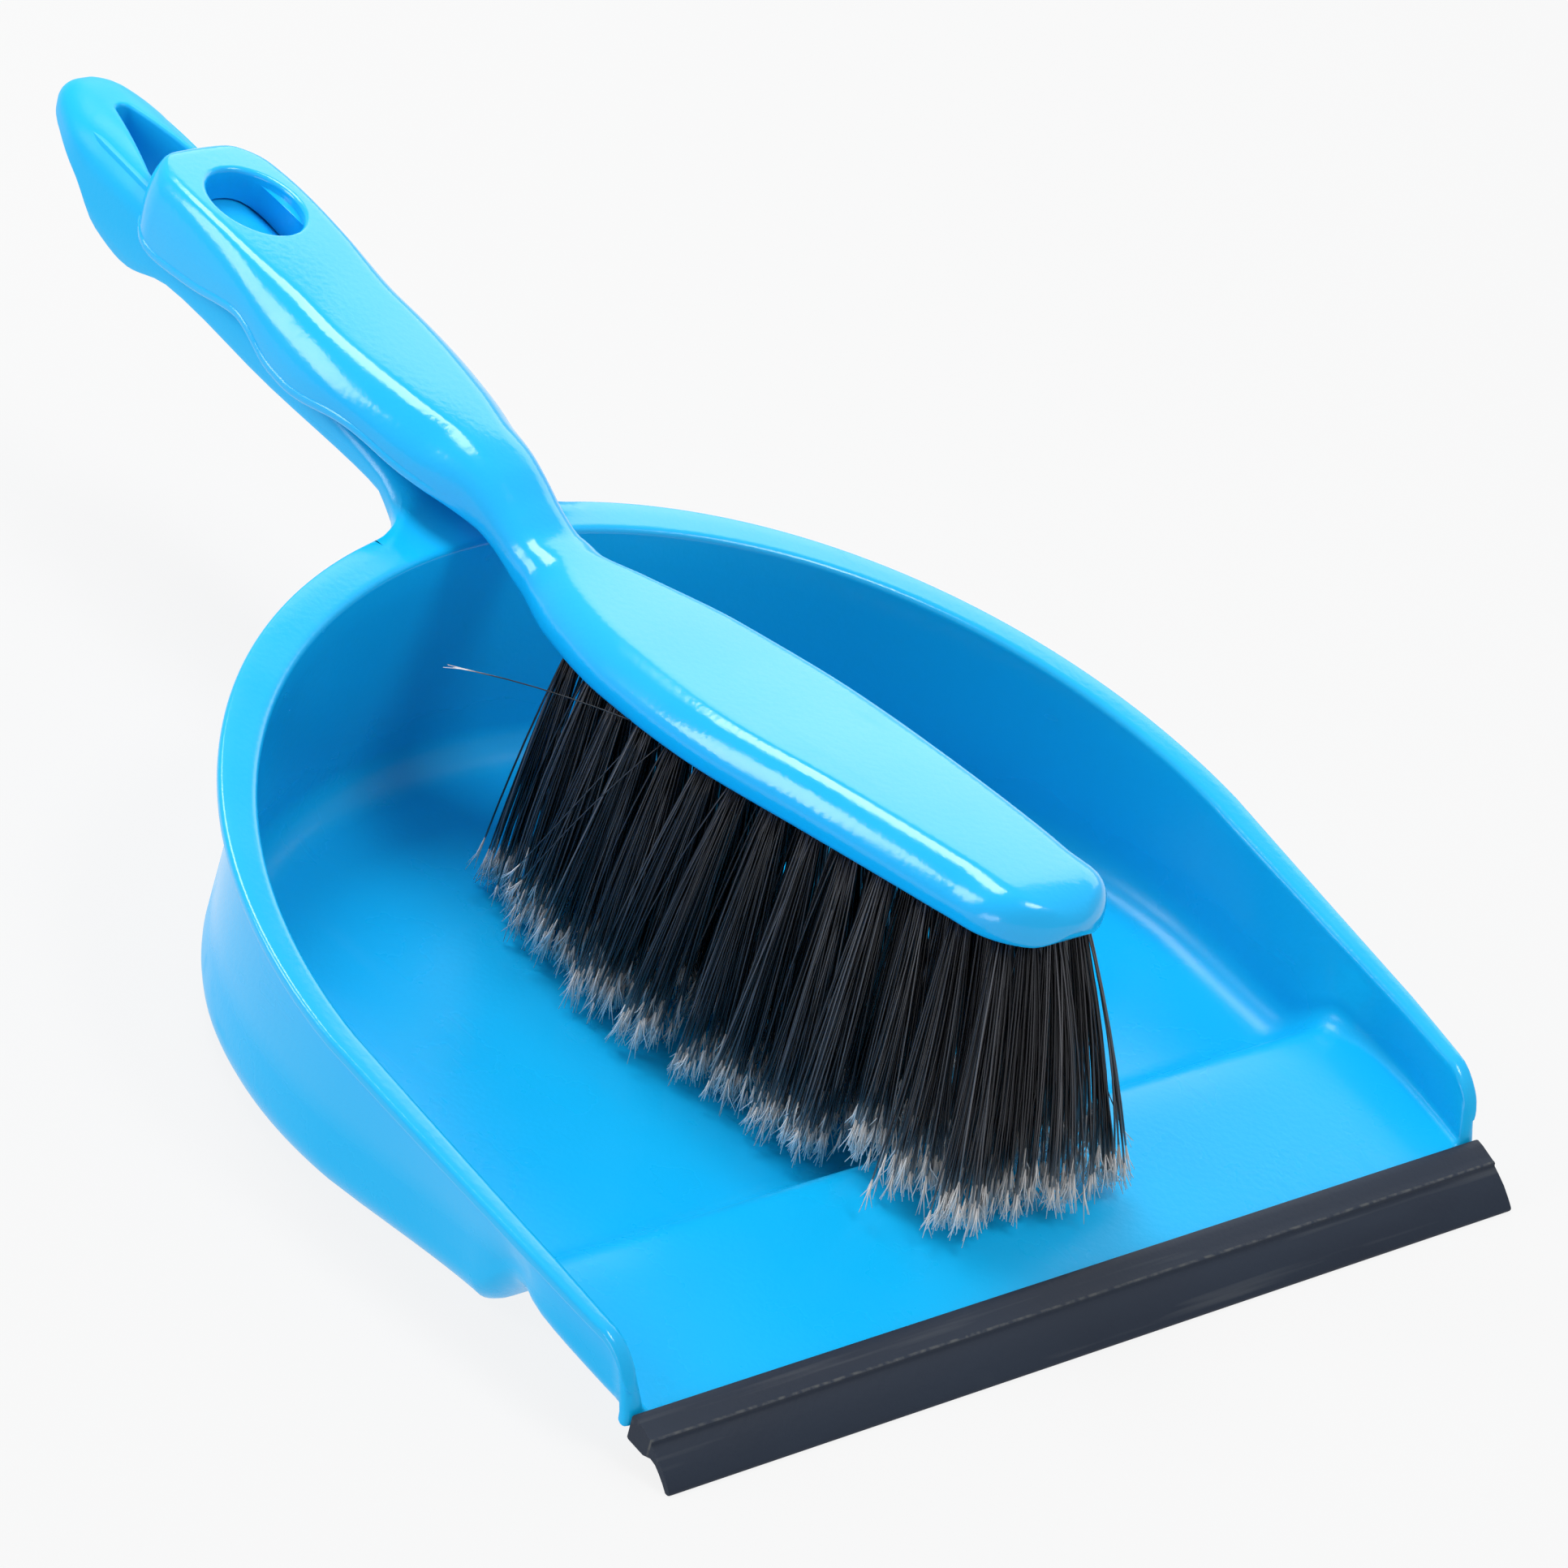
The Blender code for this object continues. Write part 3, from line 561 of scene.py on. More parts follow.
def make_pan():
    surface = Surface()
    columns, lead = scoop_columns()
    rows = [[surface.row(run) for run in runs] for runs in columns]
    middle = lead + TURNS // 2
    last = middle
    while columns[last + 1][0][-1][0] <= HANDLE_ROOT_HALF:
        last += 1
    first = 2 * middle - last
    for c in range(len(columns) - 1):
        left, right = rows[c], rows[c + 1]
        surface.strip(left[0], right[0])
        surface.strip(left[2], right[2])
        if not first <= c < last:
            left_edge = [left[0][-1]] + left[1] + [left[2][0]]
            right_edge = [right[0][-1]] + right[1] + [right[2][0]]
            surface.strip(left_edge, right_edge)
    for end in (rows[0], rows[-1]):
        inner, outer = end[0], end[2][::-1]
        for k in range(len(FLOOR_SHARES) + 1):
            surface.quad(inner[k], inner[k + 1], outer[k + 1], outer[k])
    add_handle(surface, columns, rows, first, last)
    return surface.build("pan_body")


# ---------------------------------------------------------------- the lip

LIP_CLOSED_END = 8.0  # the clip's slot stops this far short of the lip's ends


def make_lip():
    """One rubber section: a clip round the pan's tongue and a flap that droops to the ground."""
    def tongue_top(y):
        return RAMP_FRONT_Z + RAMP_SLOPE * (y - RAMP_FRONT) - TONGUE_SINK

    back = RAMP_FRONT - GAP
    slot_end = TONGUE_TIP - GAP
    clip_under = tongue_top(back) - RAMP_THICKNESS + 2 * TONGUE_SINK - GAP
    outline = [(0.35, 0.0), (1.0, 0.05), (2.2, 1.3), (3.6, 2.5), (5.0, 3.5), (6.4, 3.9), (8.4, 3.3),
               (back - 0.4, 3.8), (back, 4.1), (back, clip_under), (slot_end, clip_under - 0.6),
               (slot_end, tongue_top(TONGUE_TIP) + GAP), (back, tongue_top(back) + GAP),
               (back, 8.55), (back - 0.15, 8.85), (back - 0.45, 8.98), (back - 2.0, 8.6), (9.2, 7.85),
               (7.75, 7.28), (7.35, 7.22), (7.05, 7.02), (7.0, 6.5), (6.8, 6.3), (6.5, 6.12),
               (5.4, 5.42), (3.4, 4.0), (1.6, 2.35), (0.5, 1.2), (0.12, 0.75), (0.0, 0.4), (0.1, 0.12)]
    half = LIP_WIDTH / 2
    surface = Surface()
    rows = []
    near_end = (0.0, 0.25, 0.8, 3.0, LIP_CLOSED_END - 0.01, LIP_CLOSED_END)
    across = [-half + step for step in near_end] + spread(-half + 10, half - 10, 56)
    across += [half - step for step in reversed(near_end)]
    for x in across:
        inset = 0.25 if abs(x) == half else 0.06 if abs(x) > half - 0.5 else 0.0
        closed = abs(x) > half - LIP_CLOSED_END + 0.005
        section = [(back if closed and y == slot_end else y, z) for y, z in outline]
        rows.append(surface.row([(x, mix(y, 7.5, 0.03 * inset), mix(z, 5.0, 0.06 * inset))
                                 for y, z in section]))
    surface.cap(rows[0])
    surface.cap(surface.loft(rows))
    return surface.build("lip_rubber_strip", sharp=50)


# ---------------------------------------------------------------- the brush's stock


def stock_half_width(y):
    width = through(STOCK_HALF_WIDTH, y)
    return width * round_end(y - STOCK_TIP, TIP_ROUND) * round_end(STOCK_END - y, END_ROUND)


def stock_section(y):
    """One section of the stock: a flat top, a crisp brow, a rounded side and a beaded hem."""
    half = max(0.4, stock_half_width(y))
    top, under = through(STOCK_TOP, y), through(STOCK_UNDER, y)
    middle = mix(under, top, 0.42)
    top = mix(middle, top, max(0.05, round_end(y - STOCK_TIP, 11.0) * round_end(STOCK_END - y, 6.0)))
    under = mix(middle, under, max(0.05, round_end(y - STOCK_TIP, 3.0) * round_end(STOCK_END - y, 5.0)))
    edge_x = min(through(TOP_EDGE_X, y), 0.8 * half)
    edge_z = min(1.25 * through(TOP_EDGE_Z, y), 0.76 * (top - under))
    low = min(through(UNDER_EDGE, y), 0.2 * (top - under), 0.5 * half)
    crisp = (1 - smooth((y - 181) / 9) * smooth((222 - y) / 14)) * smooth((y - 40) / 14)
    brow = (half - edge_x, top)
    meet = (half, top - edge_x * math.tan(math.radians(BROW_FALL) * crisp))
    foot = (half, top - edge_z)
    pull, turn = (tuple(mix(a, b, 0.62) for a, b in zip(point, meet)) for point in (brow, foot))

    def slope(t):
        shares = ((1 - t) ** 3, 3 * t * (1 - t) ** 2, 3 * t * t * (1 - t), t**3)
        return tuple(sum(w * p[axis] for w, p in zip(shares, (brow, pull, turn, foot))) for axis in (0, 1))

    before_brow = (brow[0] - min(1.4, 0.3 * brow[0]), top)
    side = [before_brow] + bend(before_brow, brow, slope(0.14), 4)
    side += [slope(t) for t in (0.22, 0.31, 0.4, 0.49, 0.58, 0.67, 0.76, 0.84, 0.92, 1.0)]
    hem = HEM * smooth((y - 212) / 6) * smooth((STOCK_END - 1 - y) / 5)
    bead = min(1.2, 0.6 * (top - edge_z - under - low)) / 1.2
    side += [(half, mix(top - edge_z, under + low + 1.2 * bead, t)) for t in (0.4, 0.8)]
    side += [(half, under + low + 1.1 * bead), (half + 0.8 * hem, under + low + 0.85 * bead),
             (half + hem, under + low + 0.5 * bead)]
    for degrees in (0, 15, 30, 45, 60, 75, 90):
        angle = math.radians(degrees)
        side.append((half + hem - low * (1 - math.cos(angle)), under + low * (1 - math.sin(angle))))
    hollow = HOLLOW_START < y < HOLLOW_END
    inner = half - STOCK_WALL
    roof = top - STOCK_WALL
    if hollow:
        curl = min(7.0, 0.7 * inner)
        side += [(inner + 0.6, under), (inner, under + 0.5)]
        for degrees in (0, 30, 60, 90):
            angle = math.radians(degrees)
            side.append((inner - curl * (1 - math.cos(angle)), roof - curl * (1 - math.sin(angle))))
        flat_below, ceiling = inner - curl, roof
    else:
        last = side[-1][0]
        side += [(mix(last, 0.6 * last, t / 6), under) for t in range(1, 7)]
        flat_below, ceiling = 0.6 * last, under
    return {"flat": before_brow[0], "below": flat_below, "top": top, "ceiling": ceiling, "side": side}


def cut_nest(stock):
    """Opens the stock's end wall where it sits over the pan's handle."""
    surface = Surface()
    half, below = PAN_HANDLE_HALF + NEST_GAP, 60.0
    rows = []
    for y in (HOLLOW_END - 1.0, HOLLOW_END + 1.0, STOCK_END, STOCK_END + 3):
        top = through(HANDLE_TOP, y) + NEST_GAP
        right = [(half, y, below)]
        for angle in spread(0, math.pi / 2, 6):
            right.append((half - HANDLE_EDGE * (1 - math.cos(angle)), y,
                          top - HANDLE_EDGE * (1 - math.sin(angle))))
        rows.append(surface.row(right + [(-x, y, z) for x, y, z in reversed(right)]))
    surface.cap(rows[0])
    surface.cap(surface.loft(rows))
    cutter = surface.build("nest_cutter")
    cut = stock.modifiers.new("nest", "BOOLEAN")
    cut.operation, cut.solver, cut.object = "DIFFERENCE", "EXACT", cutter
    bpy.context.view_layer.update()
    graph = bpy.context.evaluated_depsgraph_get()
    made = bpy.data.meshes.new_from_object(stock.evaluated_get(graph))
    stock.modifiers.clear()
    stock.data = made
    bpy.data.objects.remove(cutter)


def make_stock():
    surface = Surface()
    shares = spread(-1, 1, 20)
    low, high = HANG_HOLE_Y - HANG_HOLE_LENGTH / 2, HANG_HOLE_Y + HANG_HOLE_LENGTH / 2
    front = [STOCK_TIP + d for d in (0, 0.08, 0.25, 0.55, 1, 1.6, 2.4, 3.4, 4.6, 6, 7.6, 9.4, 11.4, 13.8)]
    front += spread(53, 183, 52)
    front += spread(185, HOLLOW_START - 0.5, 24)
    front += [HOLLOW_START - 0.001, HOLLOW_START + 0.001]
    front += spread(HOLLOW_START + 1.5, low - COLLAR_WALL - 2, 34)
    along_hole = [low - COLLAR_WALL, low - 1.4, low - HOLE_ROUND, low - 0.7, low - 0.3, low,
                  low + 0.25, low + 0.8, low + 1.8, low + 3.2]
    along_hole += spread(low + 5, HANG_HOLE_Y, 5)
    along_hole += [2 * HANG_HOLE_Y - y for y in reversed(along_hole[:-1])]
    back = spread(high + COLLAR_WALL + 1, HOLLOW_END - 0.001, 7)
    back += [HOLLOW_END + 0.001, 319.6, 320.2, 320.8, 321.3, 321.8, 322.2, 322.5, 322.75, 322.92, STOCK_END]

    def crown(section, x):
        """The height of the top face, which is very slightly domed."""
        return section["top"] + min(0.25, 0.02 * section["flat"]) * (1 - (x / section["flat"]) ** 2)

    def whole_ring(y):
        section = stock_section(y)
        ring = [(share * section["flat"], y, crown(section, share * section["flat"])) for share in shares]
        ring += [(x, y, z) for x, z in section["side"]]
        ring += [(share * section["below"], y, section["ceiling"]) for share in reversed(shares)]
        ring += [(-x, y, z) for x, z in reversed(section["side"])]
        return surface.row(ring)

    def parted_rings(y):
        section = stock_section(y)
        centre_top = crown(section, hole_half(y, HOLE_ROUND))
        past = max(0.0, hole_half(y, 0.0) - (PAN_HANDLE_HALF - HANDLE_SHOULDER)) / HANDLE_SHOULDER
        fall = HANDLE_SHOULDER * (1 - math.sqrt(1 - past**2))
        depth = centre_top - (through(HANDLE_TOP, y) - fall + COLLAR_GAP)
        hole = well(y, hole_half, (low, high), centre_top, section["ceiling"], HOLE_ROUND, depth,
                    COLLAR_WALL)
        edge = max(section["flat"], hole[0][0] + 0.05)
        side = [(x, y, z) for x, z in section["side"]]
        halves = beside_hole(y, hole, shares, edge, lambda x: crown(section, x), section["below"],
                             section["ceiling"], side)
        return [surface.row(half) for half in halves]

    tip = whole_ring(front[0])
    surface.cap(tip)
    surface.loft([whole_ring(y) for y in [*front[1:], along_hole[0]]], tip)
    surface.loft_halves([parted_rings(y) for y in along_hole])
    surface.cap(surface.loft([whole_ring(y) for y in [along_hole[-1], *back]]))
    stock = surface.build("brush_body")
    cut_nest(stock)
    return stock


# ---------------------------------------------------------------- the bristles

FILAMENTS = 50
FILAMENT_RADIUS = 0.25
SPLIT_LENGTH = 7.0
SPLITS = 5
ROOT_SPREAD = 1.8
TUFT_LEAN = (0.9, 1.5)
WILD_SHARE = 0.12  # the share of the filaments that stand out from their tuft
WILD, TAME = 2.4, 0.5
STRAY_RADIUS = 0.15
STRAY_SPLITS = 7
STRAY_SPLIT_LENGTH = 6.0
# filaments that have sprung out of a tuft: from the root to the tip, by tuft number
STRAYS = {10: (((-16, 134.5, 58), (-48, 163, 63)), ((-15, 133, 58), (-33, 149, 14))),
          11: (((-15, 139, 58), (-31, 153, 15)),),
          14: (((-9, 168, 57), (-23, 155.5, 13)),),
          29: (((6, 47, 60), (27, 30, 17)),)}


def tuft_places():
    """(x, y) of each tuft's root, row by row."""
    places = []
    for row in TUFT_ROWS:
        for station in range(TUFT_STATIONS):
            y = TUFT_FIRST + TUFT_PITCH * station
            places.append((row * (stock_half_width(y) - TUFT_EDGE), y))
    return places


def tuft_tip(x, y):
    """Where a tuft that starts at (x, y) ends, and its half widths there."""
    splay = SPLAY_TOE if y < SPLAY_CENTRE else SPLAY_HEEL
    tip_y = SPLAY_CENTRE + (y - SPLAY_CENTRE) * splay
    across = through(SPLAY_ACROSS, y)
    outer = stock_half_width(y) - TUFT_EDGE
    reach_x = outer / 3 * across - GAP
    reach_y = TUFT_PITCH * min(SPLAY_HEEL, SPLAY_TOE) / 2 - GAP
    floor = max(through(FLOOR_TOP, tip_y - reach_y + reach_y * step / 4) for step in range(9))
    return x * across, tip_y, floor + BRISTLE_CLEARANCE, reach_x, reach_y


def add_hair(points, shades, faces, path, radii, tones):
    """A three-sided filament along a path."""
    base = len(points)
    count = len(path)
    for k, point in enumerate(path):
        ahead = (path[min(k + 1, count - 1)] - path[max(k - 1, 0)]).normalized()
        across = ahead.orthogonal().normalized()
        other = ahead.cross(across)
        for corner in range(3):
            angle = 2 * math.pi * corner / 3
            points.append(point + (across * math.cos(angle) + other * math.sin(angle)) * radii[k])
            shades.append(tones[k])
    for k in range(count - 1):
        a, b = base + 3 * k, base + 3 * k + 3
        for corner in range(3):
            following = (corner + 1) % 3
            faces.append((a + corner, a + following, b + following, b + corner))
    faces.append((base + 2, base + 1, base))
    end = base + 3 * (count - 1)
    faces.append((end, end + 1, end + 2))


def hair_object(name, points, shades, faces):
    """One object of many hairs, with each point's paleness and its filament's random shade, whose lighter
    greys are a painted sheen, as a colour.
    """
    data = bpy.data.meshes.new(name)
    data.from_pydata([(p.x * MM, (p.y - LENGTH / 2) * MM, p.z * MM) for p in points], [], faces)
    tone = data.color_attributes.new("tone", "FLOAT_COLOR", "POINT")
    for k, (pale, shade_and_painted_sheen) in enumerate(shades):
        tone.data[k].color = (pale, shade_and_painted_sheen, 0.0, 1.0)
    data.shade_smooth()
    obj = bpy.data.objects.new(name, data)
    bpy.context.scene.collection.objects.link(obj)
    return obj


def add_split_hair(dice, made, root, tip, bow, radius, splits, length):
    """A filament from root to tip that bows outwards, then frays into a few thin hairs."""
    points, shades, faces = made
    # a random shade per filament; its lighter greys are a painted sheen
    shade_and_painted_sheen = dice.random()
    shares = spread(0.0, 1.0, 6)
    keep = 1 - length / (tip - root).length
    path = []
    for share in shares:
        t = keep * share
        path.append(root.lerp(tip, t) + bow * (4 * t * (1 - t)))
    radii = [radius * (1 - 0.1 * share) for share in shares]
    tones = [(0.0 if share < 1 else 0.25, shade_and_painted_sheen) for share in shares]
    add_hair(points, shades, faces, path, radii, tones)
    start = path[-1]
    ahead = (path[-1] - path[-2]).normalized()
    for _ in range(splits):
        stray = Vector((dice.gauss(0, 1), dice.gauss(0, 1), dice.gauss(0, 0.4)))
        reach = length * dice.uniform(0.6, 1.1)
        spread_out = 0.22 * dice.random() + 0.04
        middle = start + (ahead + stray * spread_out * 0.5).normalized() * reach * 0.5
        end = keep_above(middle + (ahead + stray * spread_out * 1.6).normalized() * reach * 0.5)
        pale = dice.uniform(0.55, 1.0)
        radii = [radius * part for part in (0.62, 0.54, 0.38)]
        tones = [(0.3, shade_and_painted_sheen), (0.8 * pale, shade_and_painted_sheen), (pale, shade_and_painted_sheen)]
        add_hair(points, shades, faces, [start - ahead * 0.3, middle, end], radii, tones)


def keep_above(point):
    """Lifts a point that would lie in the pan's floor."""
    floor = through(FLOOR_TOP, point.y) + 0.35
    if point.z < floor:
        point.z = floor
    return point


def make_tuft(index, x, y):
    """One tuft of filaments, rooted at (x, y) in the head's underside."""
    dice = random.Random(1000 + index)
    face = through(STOCK_UNDER, y)
    tip_x, tip_y, tip_z, reach_x, reach_y = tuft_tip(x, y)
    made = ([], [], [])
    outward = Vector((tip_x - x, tip_y - y, 0.0)) * 0.09
    lean = Vector((dice.gauss(0, TUFT_LEAN[0]), dice.gauss(0, TUFT_LEAN[1]), 0))
    for _ in range(FILAMENTS):
        turn, share = 2 * math.pi * dice.random(), math.sqrt(dice.random())
        away = ROOT_SPREAD * share
        root = Vector((x + away * math.cos(turn), y + away * math.sin(turn), face + 1.5))
        far = share * dice.uniform(0.85, 1.15) + dice.gauss(0, 0.08)
        drift = turn + dice.gauss(0, 0.5)
        wild = WILD if dice.random() < WILD_SHARE else TAME
        tip = Vector((tip_x + reach_x * far * math.cos(drift) + dice.gauss(0, wild),
                      tip_y + reach_y * far * math.sin(drift) + dice.gauss(0, wild),
                      tip_z - BRISTLE_CLEARANCE + 0.2 + abs(dice.gauss(0, 2.2))))
        tip += lean
        bow = outward + Vector((dice.gauss(0, 0.6), dice.gauss(0, 0.6), 0))
        add_split_hair(dice, made, root, keep_above(tip), bow, FILAMENT_RADIUS, SPLITS,
                       SPLIT_LENGTH * dice.uniform(0.7, 1.25))
    for start, end in STRAYS.get(index, ()):
        bow = Vector((dice.uniform(-1, 1), dice.uniform(-1, 1), 1.5))
        add_split_hair(dice, made, Vector(start), Vector(end), bow, STRAY_RADIUS, STRAY_SPLITS,
                       STRAY_SPLIT_LENGTH)
    return hair_object(f"tuft_{index:02d}", *made)


# ---------------------------------------------------------------- materials


class Nodes:
    """A small helper that builds one Principled material."""

    def __init__(self, name):
        self.material = bpy.data.materials.new(name)
        self.material.use_nodes = True
        self.tree = self.material.node_tree
        self.shader = self.tree.nodes["Principled BSDF"]
        self.place = self.node("ShaderNodeTexCoord").outputs["Object"]

    def node(self, kind, **settings):
        made = self.tree.nodes.new(kind)
        for key, value in settings.items():
            setattr(made, key, value)
        return made

    def link(self, source, target):
        self.tree.links.new(source, target)

    def noise(self, scale, detail=3.0, stretch=None, rough=0.5):
        made = self.node("ShaderNodeTexNoise")
        made.inputs["Scale"].default_value = scale
        made.inputs["Detail"].default_value = detail
        made.inputs["Roughness"].default_value = rough
        place = self.place
        if stretch:
            mapping = self.node("ShaderNodeMapping")
            mapping.inputs["Scale"].default_value = stretch
            self.link(place, mapping.inputs["Vector"])
            place = mapping.outputs["Vector"]
        self.link(place, made.inputs["Vector"])
        return made.outputs["Fac"]

    def ramp(self, source, stops):
        made = self.node("ShaderNodeValToRGB")
        elements = made.color_ramp.elements
        elements[0].position, elements[1].position = stops[0][0], stops[-1][0]
        for at, _ in stops[1:-1]:
            elements.new(at)
        for element, (_, colour) in zip(elements, stops):
            element.color = (*colour, 1.0)
        self.link(source, made.inputs["Fac"])
        return made.outputs["Color"]

    def span(self, source, low, high, to_low, to_high):
        made = self.node("ShaderNodeMapRange")
        for key, value in (("From Min", low), ("From Max", high), ("To Min", to_low), ("To Max", to_high)):
            made.inputs[key].default_value = value
        self.link(source, made.inputs["Value"])
        return made.outputs["Result"]

    def math(self, operation, a, b):
        made = self.node("ShaderNodeMath", operation=operation)
        for socket, value in zip(made.inputs, (a, b)):
            if isinstance(value, (int, float)):
                socket.default_value = value
            else:
                self.link(value, socket)
        return made.outputs["Value"]

    def blend(self, share, a, b):
        made = self.node("ShaderNodeMix", data_type="RGBA")
        for socket, value in ((made.inputs[0], share), (made.inputs[6], a), (made.inputs[7], b)):
            if isinstance(value, tuple):
                socket.default_value = (*value, 1.0)
            else:
                self.link(value, socket)
        return made.outputs[2]

    def bump(self, heights, distance):
        """Stacks (height, strength) pairs into one normal."""
        normal = None
        for height, strength in heights:
            made = self.node("ShaderNodeBump")
            made.inputs["Strength"].default_value = strength
            made.inputs["Distance"].default_value = distance
            self.link(height, made.inputs["Height"])
            if normal:
                self.link(normal, made.inputs["Normal"])
            normal = made.outputs["Normal"]
        self.link(normal, self.shader.inputs["Normal"])


def plastic(name, deep, bright, gloss, glossy_band=None):
    """Glossy moulded polypropylene, faintly cloudy and scuffed, and duller outside a band of heights."""
    made = Nodes(name)
    flow = made.noise(14.0, 2.0)
    made.link(made.ramp(flow, [(0.3, deep), (0.7, bright)]), made.shader.inputs["Base Color"])
    haze = made.noise(60.0, 4.0)
    scratch = made.noise(160.0, 2.0, stretch=(1.0, 0.06, 1.0))
    rough = made.math("ADD", made.span(haze, 0.35, 0.7, gloss, gloss + 0.07),
                      made.span(scratch, 0.62, 0.75, 0.0, 0.10))
    if glossy_band:
        low, high = glossy_band
        axes = made.node("ShaderNodeSeparateXYZ")
        made.link(made.place, axes.inputs["Vector"])
        floor = made.span(axes.outputs["Z"], low * MM, (low + 5) * MM, 1.0, 0.0)
        grip = made.span(axes.outputs["Z"], high * MM, (high + 12) * MM, 0.0, 1.0)
        rough = made.math("ADD", rough, made.math("MULTIPLY", floor, 0.10))
        rough = made.math("ADD", rough, made.math("MULTIPLY", grip, 0.20))
        worn = made.math("MAXIMUM", floor, grip)
        made.link(made.span(worn, 0.0, 1.0, 0.5, 0.22), made.shader.inputs["Specular IOR Level"])
    made.link(rough, made.shader.inputs["Roughness"])
    made.shader.inputs["IOR"].default_value = 1.49
    made.bump([(made.noise(9.0, 1.0), 0.05), (made.noise(700.0, 2.0), 0.03)], 0.002)
    return made.material


def rubber():
    """Dusty dark rubber, with a paler stripe painted along the lip's ridge as a highlight."""
    made = Nodes("rubber")
    dust = made.noise(46.0, 4.0, stretch=(0.35, 1.0, 1.0), rough=0.6)
    streak = made.noise(300.0, 3.0, stretch=(0.04, 1.0, 1.0))
    base = made.ramp(dust, [(0.35, (0.009, 0.016, 0.032)), (0.62, (0.012, 0.021, 0.039)),
                            (0.78, (0.022, 0.032, 0.050))])
    axes = made.node("ShaderNodeSeparateXYZ")
    made.link(made.place, axes.inputs["Vector"])
    # a paler stripe painted along the lip's ridge: a painted highlight on that edge, broken up by noise
    ridge = (RIDGE_Y - LENGTH / 2) * MM
    away = made.math("ABSOLUTE", made.math("SUBTRACT", axes.outputs["Y"], ridge), 0.0)
    painted_ridge_highlight = made.math("MULTIPLY", made.span(away, 0.00012, 0.00034, 1.0, 0.0),
                     made.span(made.noise(420.0, 3.0), 0.42, 0.6, 0.0, 0.8))
    base = made.blend(painted_ridge_highlight, base, (0.075, 0.08, 0.082))
    made.link(made.blend(made.span(streak, 0.62, 0.8, 0.0, 0.35), base, (0.13, 0.14, 0.15)),
              made.shader.inputs["Base Color"])
    made.link(made.span(dust, 0.3, 0.7, 0.48, 0.66), made.shader.inputs["Roughness"])
    made.shader.inputs["Specular IOR Level"].default_value = 0.3
    made.bump([(made.noise(900.0, 3.0), 0.15), (streak, 0.08)], 0.0004)
    return made.material


def filament():
    """Black filament in a random shade per filament, whose lighter greys are a painted sheen, pale at its
    split end.
    """
    made = Nodes("filament")
    tone = made.node("ShaderNodeAttribute", attribute_name="tone")
    parts = made.node("ShaderNodeSeparateColor")
    made.link(tone.outputs["Color"], parts.inputs["Color"])
    # each filament's random shade from black to grey; the lighter greys are a painted sheen along single
    # filaments
    shade_and_painted_sheen = made.ramp(parts.outputs["Green"], [(0.0, (0.008, 0.009, 0.012)), (0.55, (0.020, 0.021, 0.026)),
                                             (0.8, (0.045, 0.047, 0.055)), (1.0, (0.12, 0.12, 0.13))])
    pale = made.ramp(parts.outputs["Red"], [(0.0, (0.10, 0.10, 0.11)), (0.45, (0.70, 0.685, 0.67)),
                                            (1.0, (0.97, 0.955, 0.94))])
    share = made.span(parts.outputs["Red"], 0.1, 0.45, 0.0, 1.0)
    made.link(made.blend(share, shade_and_painted_sheen, pale), made.shader.inputs["Base Color"])
    made.link(made.span(made.noise(220.0), 0.3, 0.7, 0.28, 0.42), made.shader.inputs["Roughness"])
    return made.material


def floor_material():
    """An evenly lit white floor that still takes a shadow."""
    made = Nodes("studio_floor")
    cloud = made.noise(1.2, 2.0)
    made.link(made.ramp(cloud, [(0.3, (0.055, 0.055, 0.055)), (0.7, (0.06, 0.06, 0.06))]),
              made.shader.inputs["Base Color"])
    made.shader.inputs["Roughness"].default_value = 1.0
    made.shader.inputs["Specular IOR Level"].default_value = 0.0
    made.shader.inputs["Emission Color"].default_value = (1.0, 1.0, 1.0, 1.0)
    made.shader.inputs["Emission Strength"].default_value = 0.86
    return made.material


# ---------------------------------------------------------------- the stage


def add_camera():
    """The view from the front left, about 30 degrees above the floor."""
    right = Vector((0.7406, -0.6351, 0.2195))
    up = Vector((0.1844, 0.5062, 0.8425))
    back = Vector((-0.6461, -0.5835, 0.4920))
    data = bpy.data.cameras.new("camera")
    data.sensor_width = 36.0
    data.lens = 149.07
    data.clip_end = 50.0
    camera = bpy.data.objects.new("camera", data)
    turn = Matrix((right, up, back)).transposed().to_quaternion().to_matrix().to_4x4()
    place = Vector((-0.8047, -0.6113 - LENGTH / 2 * MM, 0.6672))
    camera.matrix_world = Matrix.Translation(place) @ turn
    bpy.context.scene.collection.objects.link(camera)
    bpy.context.scene.camera = camera


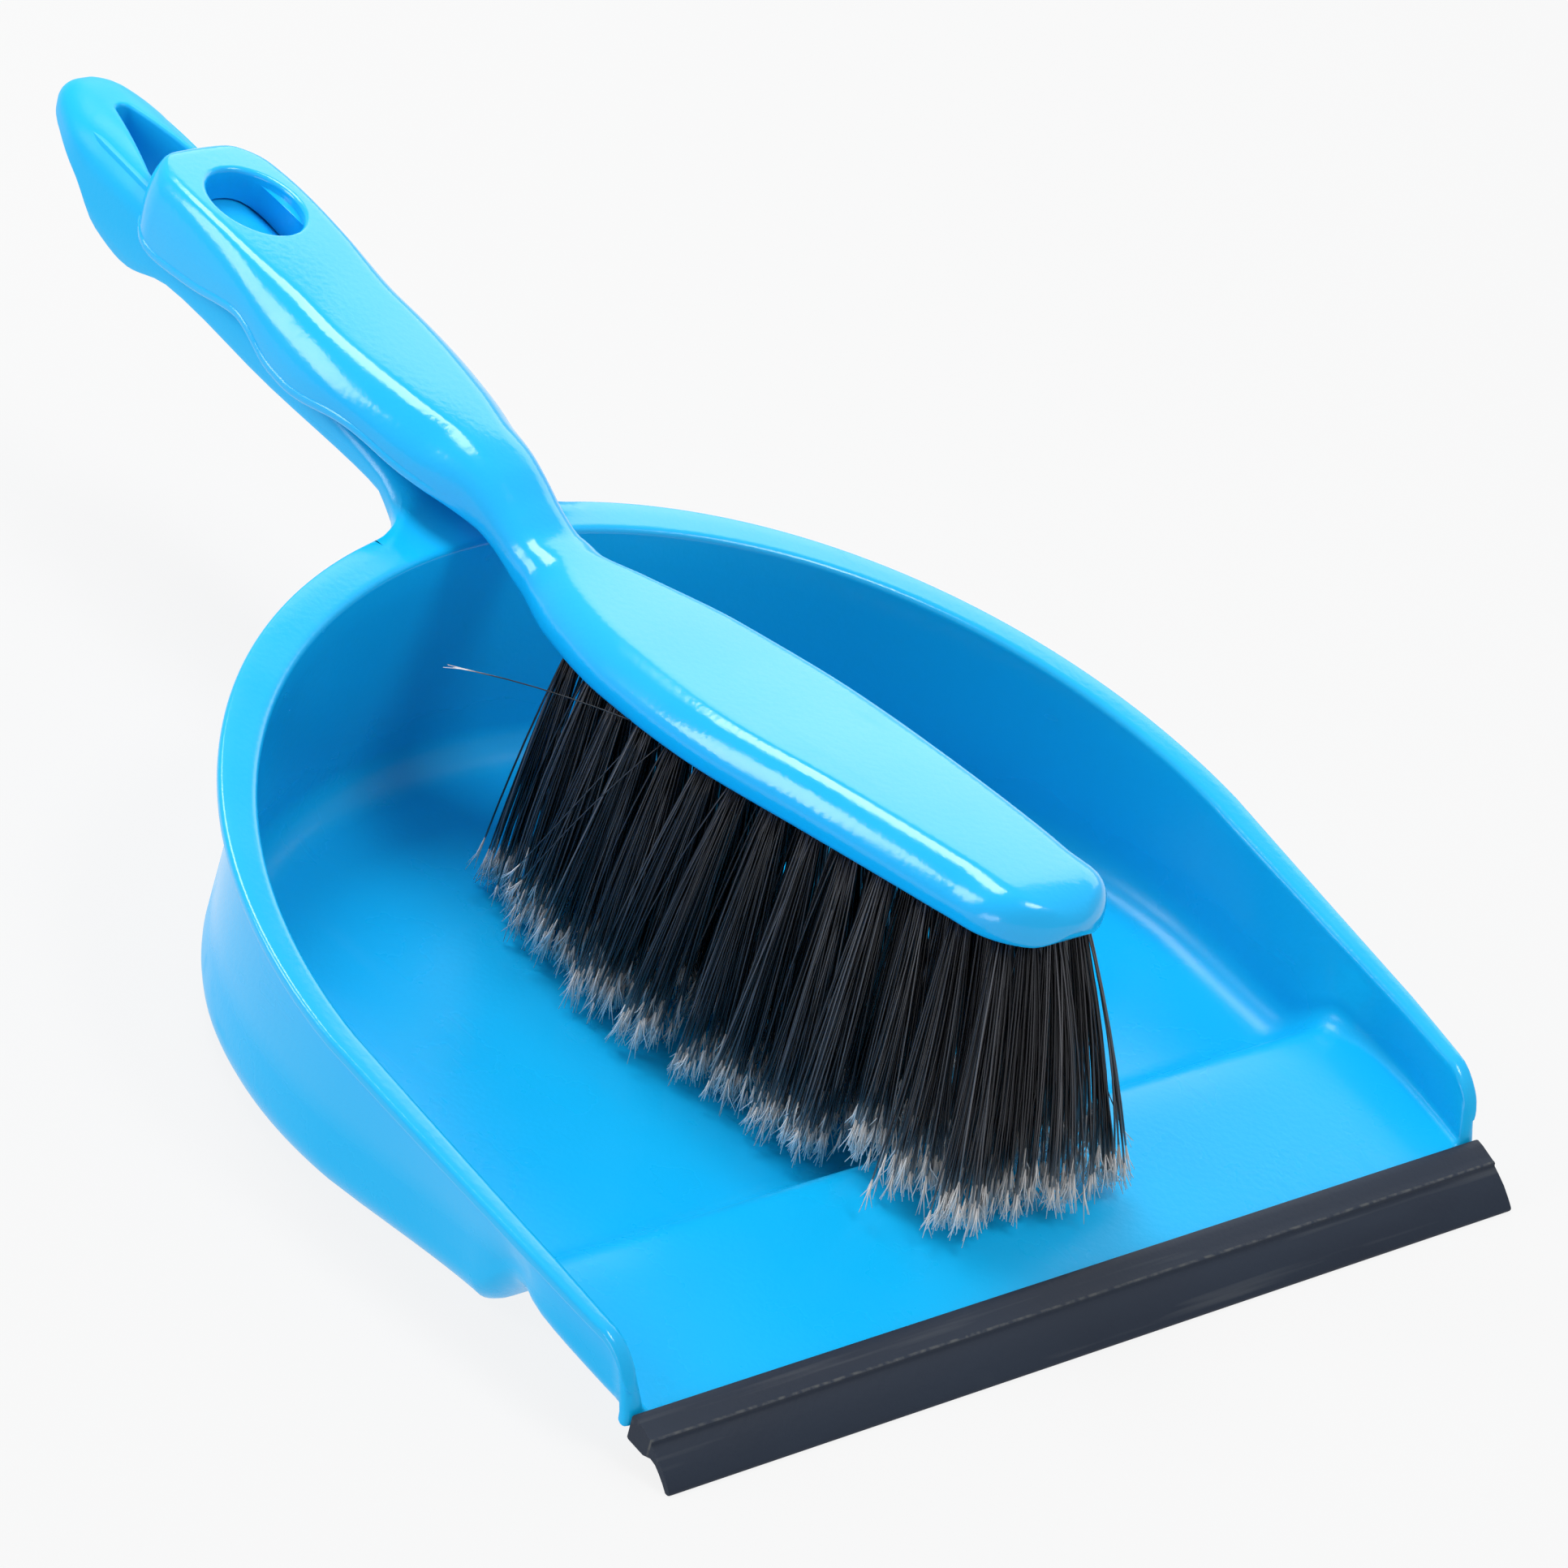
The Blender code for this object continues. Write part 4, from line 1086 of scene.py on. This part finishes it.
def add_softbox(name, place, target, size, power):
    data = bpy.data.lights.new(name, "AREA")
    data.shape = "RECTANGLE"
    data.size, data.size_y = size
    data.energy = power
    lamp = bpy.data.objects.new(name, data)
    lamp.location = place
    lamp.rotation_euler = (Vector(target) - Vector(place)).to_track_quat("-Z", "Y").to_euler()
    bpy.context.scene.collection.objects.link(lamp)


def add_stage():
    world = bpy.data.worlds.new("studio")
    world.use_nodes = True
    world.node_tree.nodes["Background"].inputs["Color"].default_value = (0.93, 0.96, 1.0, 1.0)
    world.node_tree.nodes["Background"].inputs["Strength"].default_value = 0.54
    bpy.context.scene.world = world
    middle = (0.0, 0.0, 0.05)
    add_softbox("overhead", (0.02, 0.60, 1.08), middle, (0.50, 0.50), 8.0)
    add_softbox("backdrop", (1.00, 0.68, 0.68), middle, (1.5, 0.64), 5.4)
    add_softbox("left", (-0.92, 0.74, 0.70), middle, (0.40, 0.60), 5.6)
    add_softbox("side fill", (-1.10, -0.35, 0.14), middle, (0.60, 0.24), 2.0)
    add_softbox("toe", (0.22, -0.42, 1.05), middle, (0.38, 0.28), 4.0)
    bpy.ops.mesh.primitive_plane_add(size=12.0)
    floor = bpy.context.object
    floor.name = "studio_floor"
    floor.data.materials.append(floor_material())


# ---------------------------------------------------------------- everything together


def finish_piece(piece, body, slot, material, *nodes):
    """Gives a piece its material, its body and the solids that it replaces."""
    piece.data.materials.clear()
    piece.data.materials.append(material)
    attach(piece, body)
    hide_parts(*nodes)


def main():
    bpy.context.scene.view_settings.view_transform = "Standard"
    add_camera()
    add_stage()
    pan_blue = plastic("pan_plastic", (0.003, 0.42, 0.82), (0.006, 0.45, 0.85), 0.16,
                       glossy_band=(14.0, 58.0))
    brush_blue = plastic("brush_plastic", (0.004, 0.41, 0.83), (0.007, 0.44, 0.86), 0.12)
    finish_piece(make_pan(), "pan", "pan_plastic", pan_blue, "dust_pan")
    finish_piece(make_lip(), "pan", "lip_rubber", rubber(), "lip_strip")
    finish_piece(make_stock(), "brush", "brush_plastic", brush_blue, "brush_stock")
    black = filament()
    for index, (x, y) in enumerate(tuft_places(), 1):
        tuft = make_tuft(index, x, y)
        finish_piece(tuft, "brush", "bristle_filament", black, f"bristle_tuft_{index:02d}")


main()
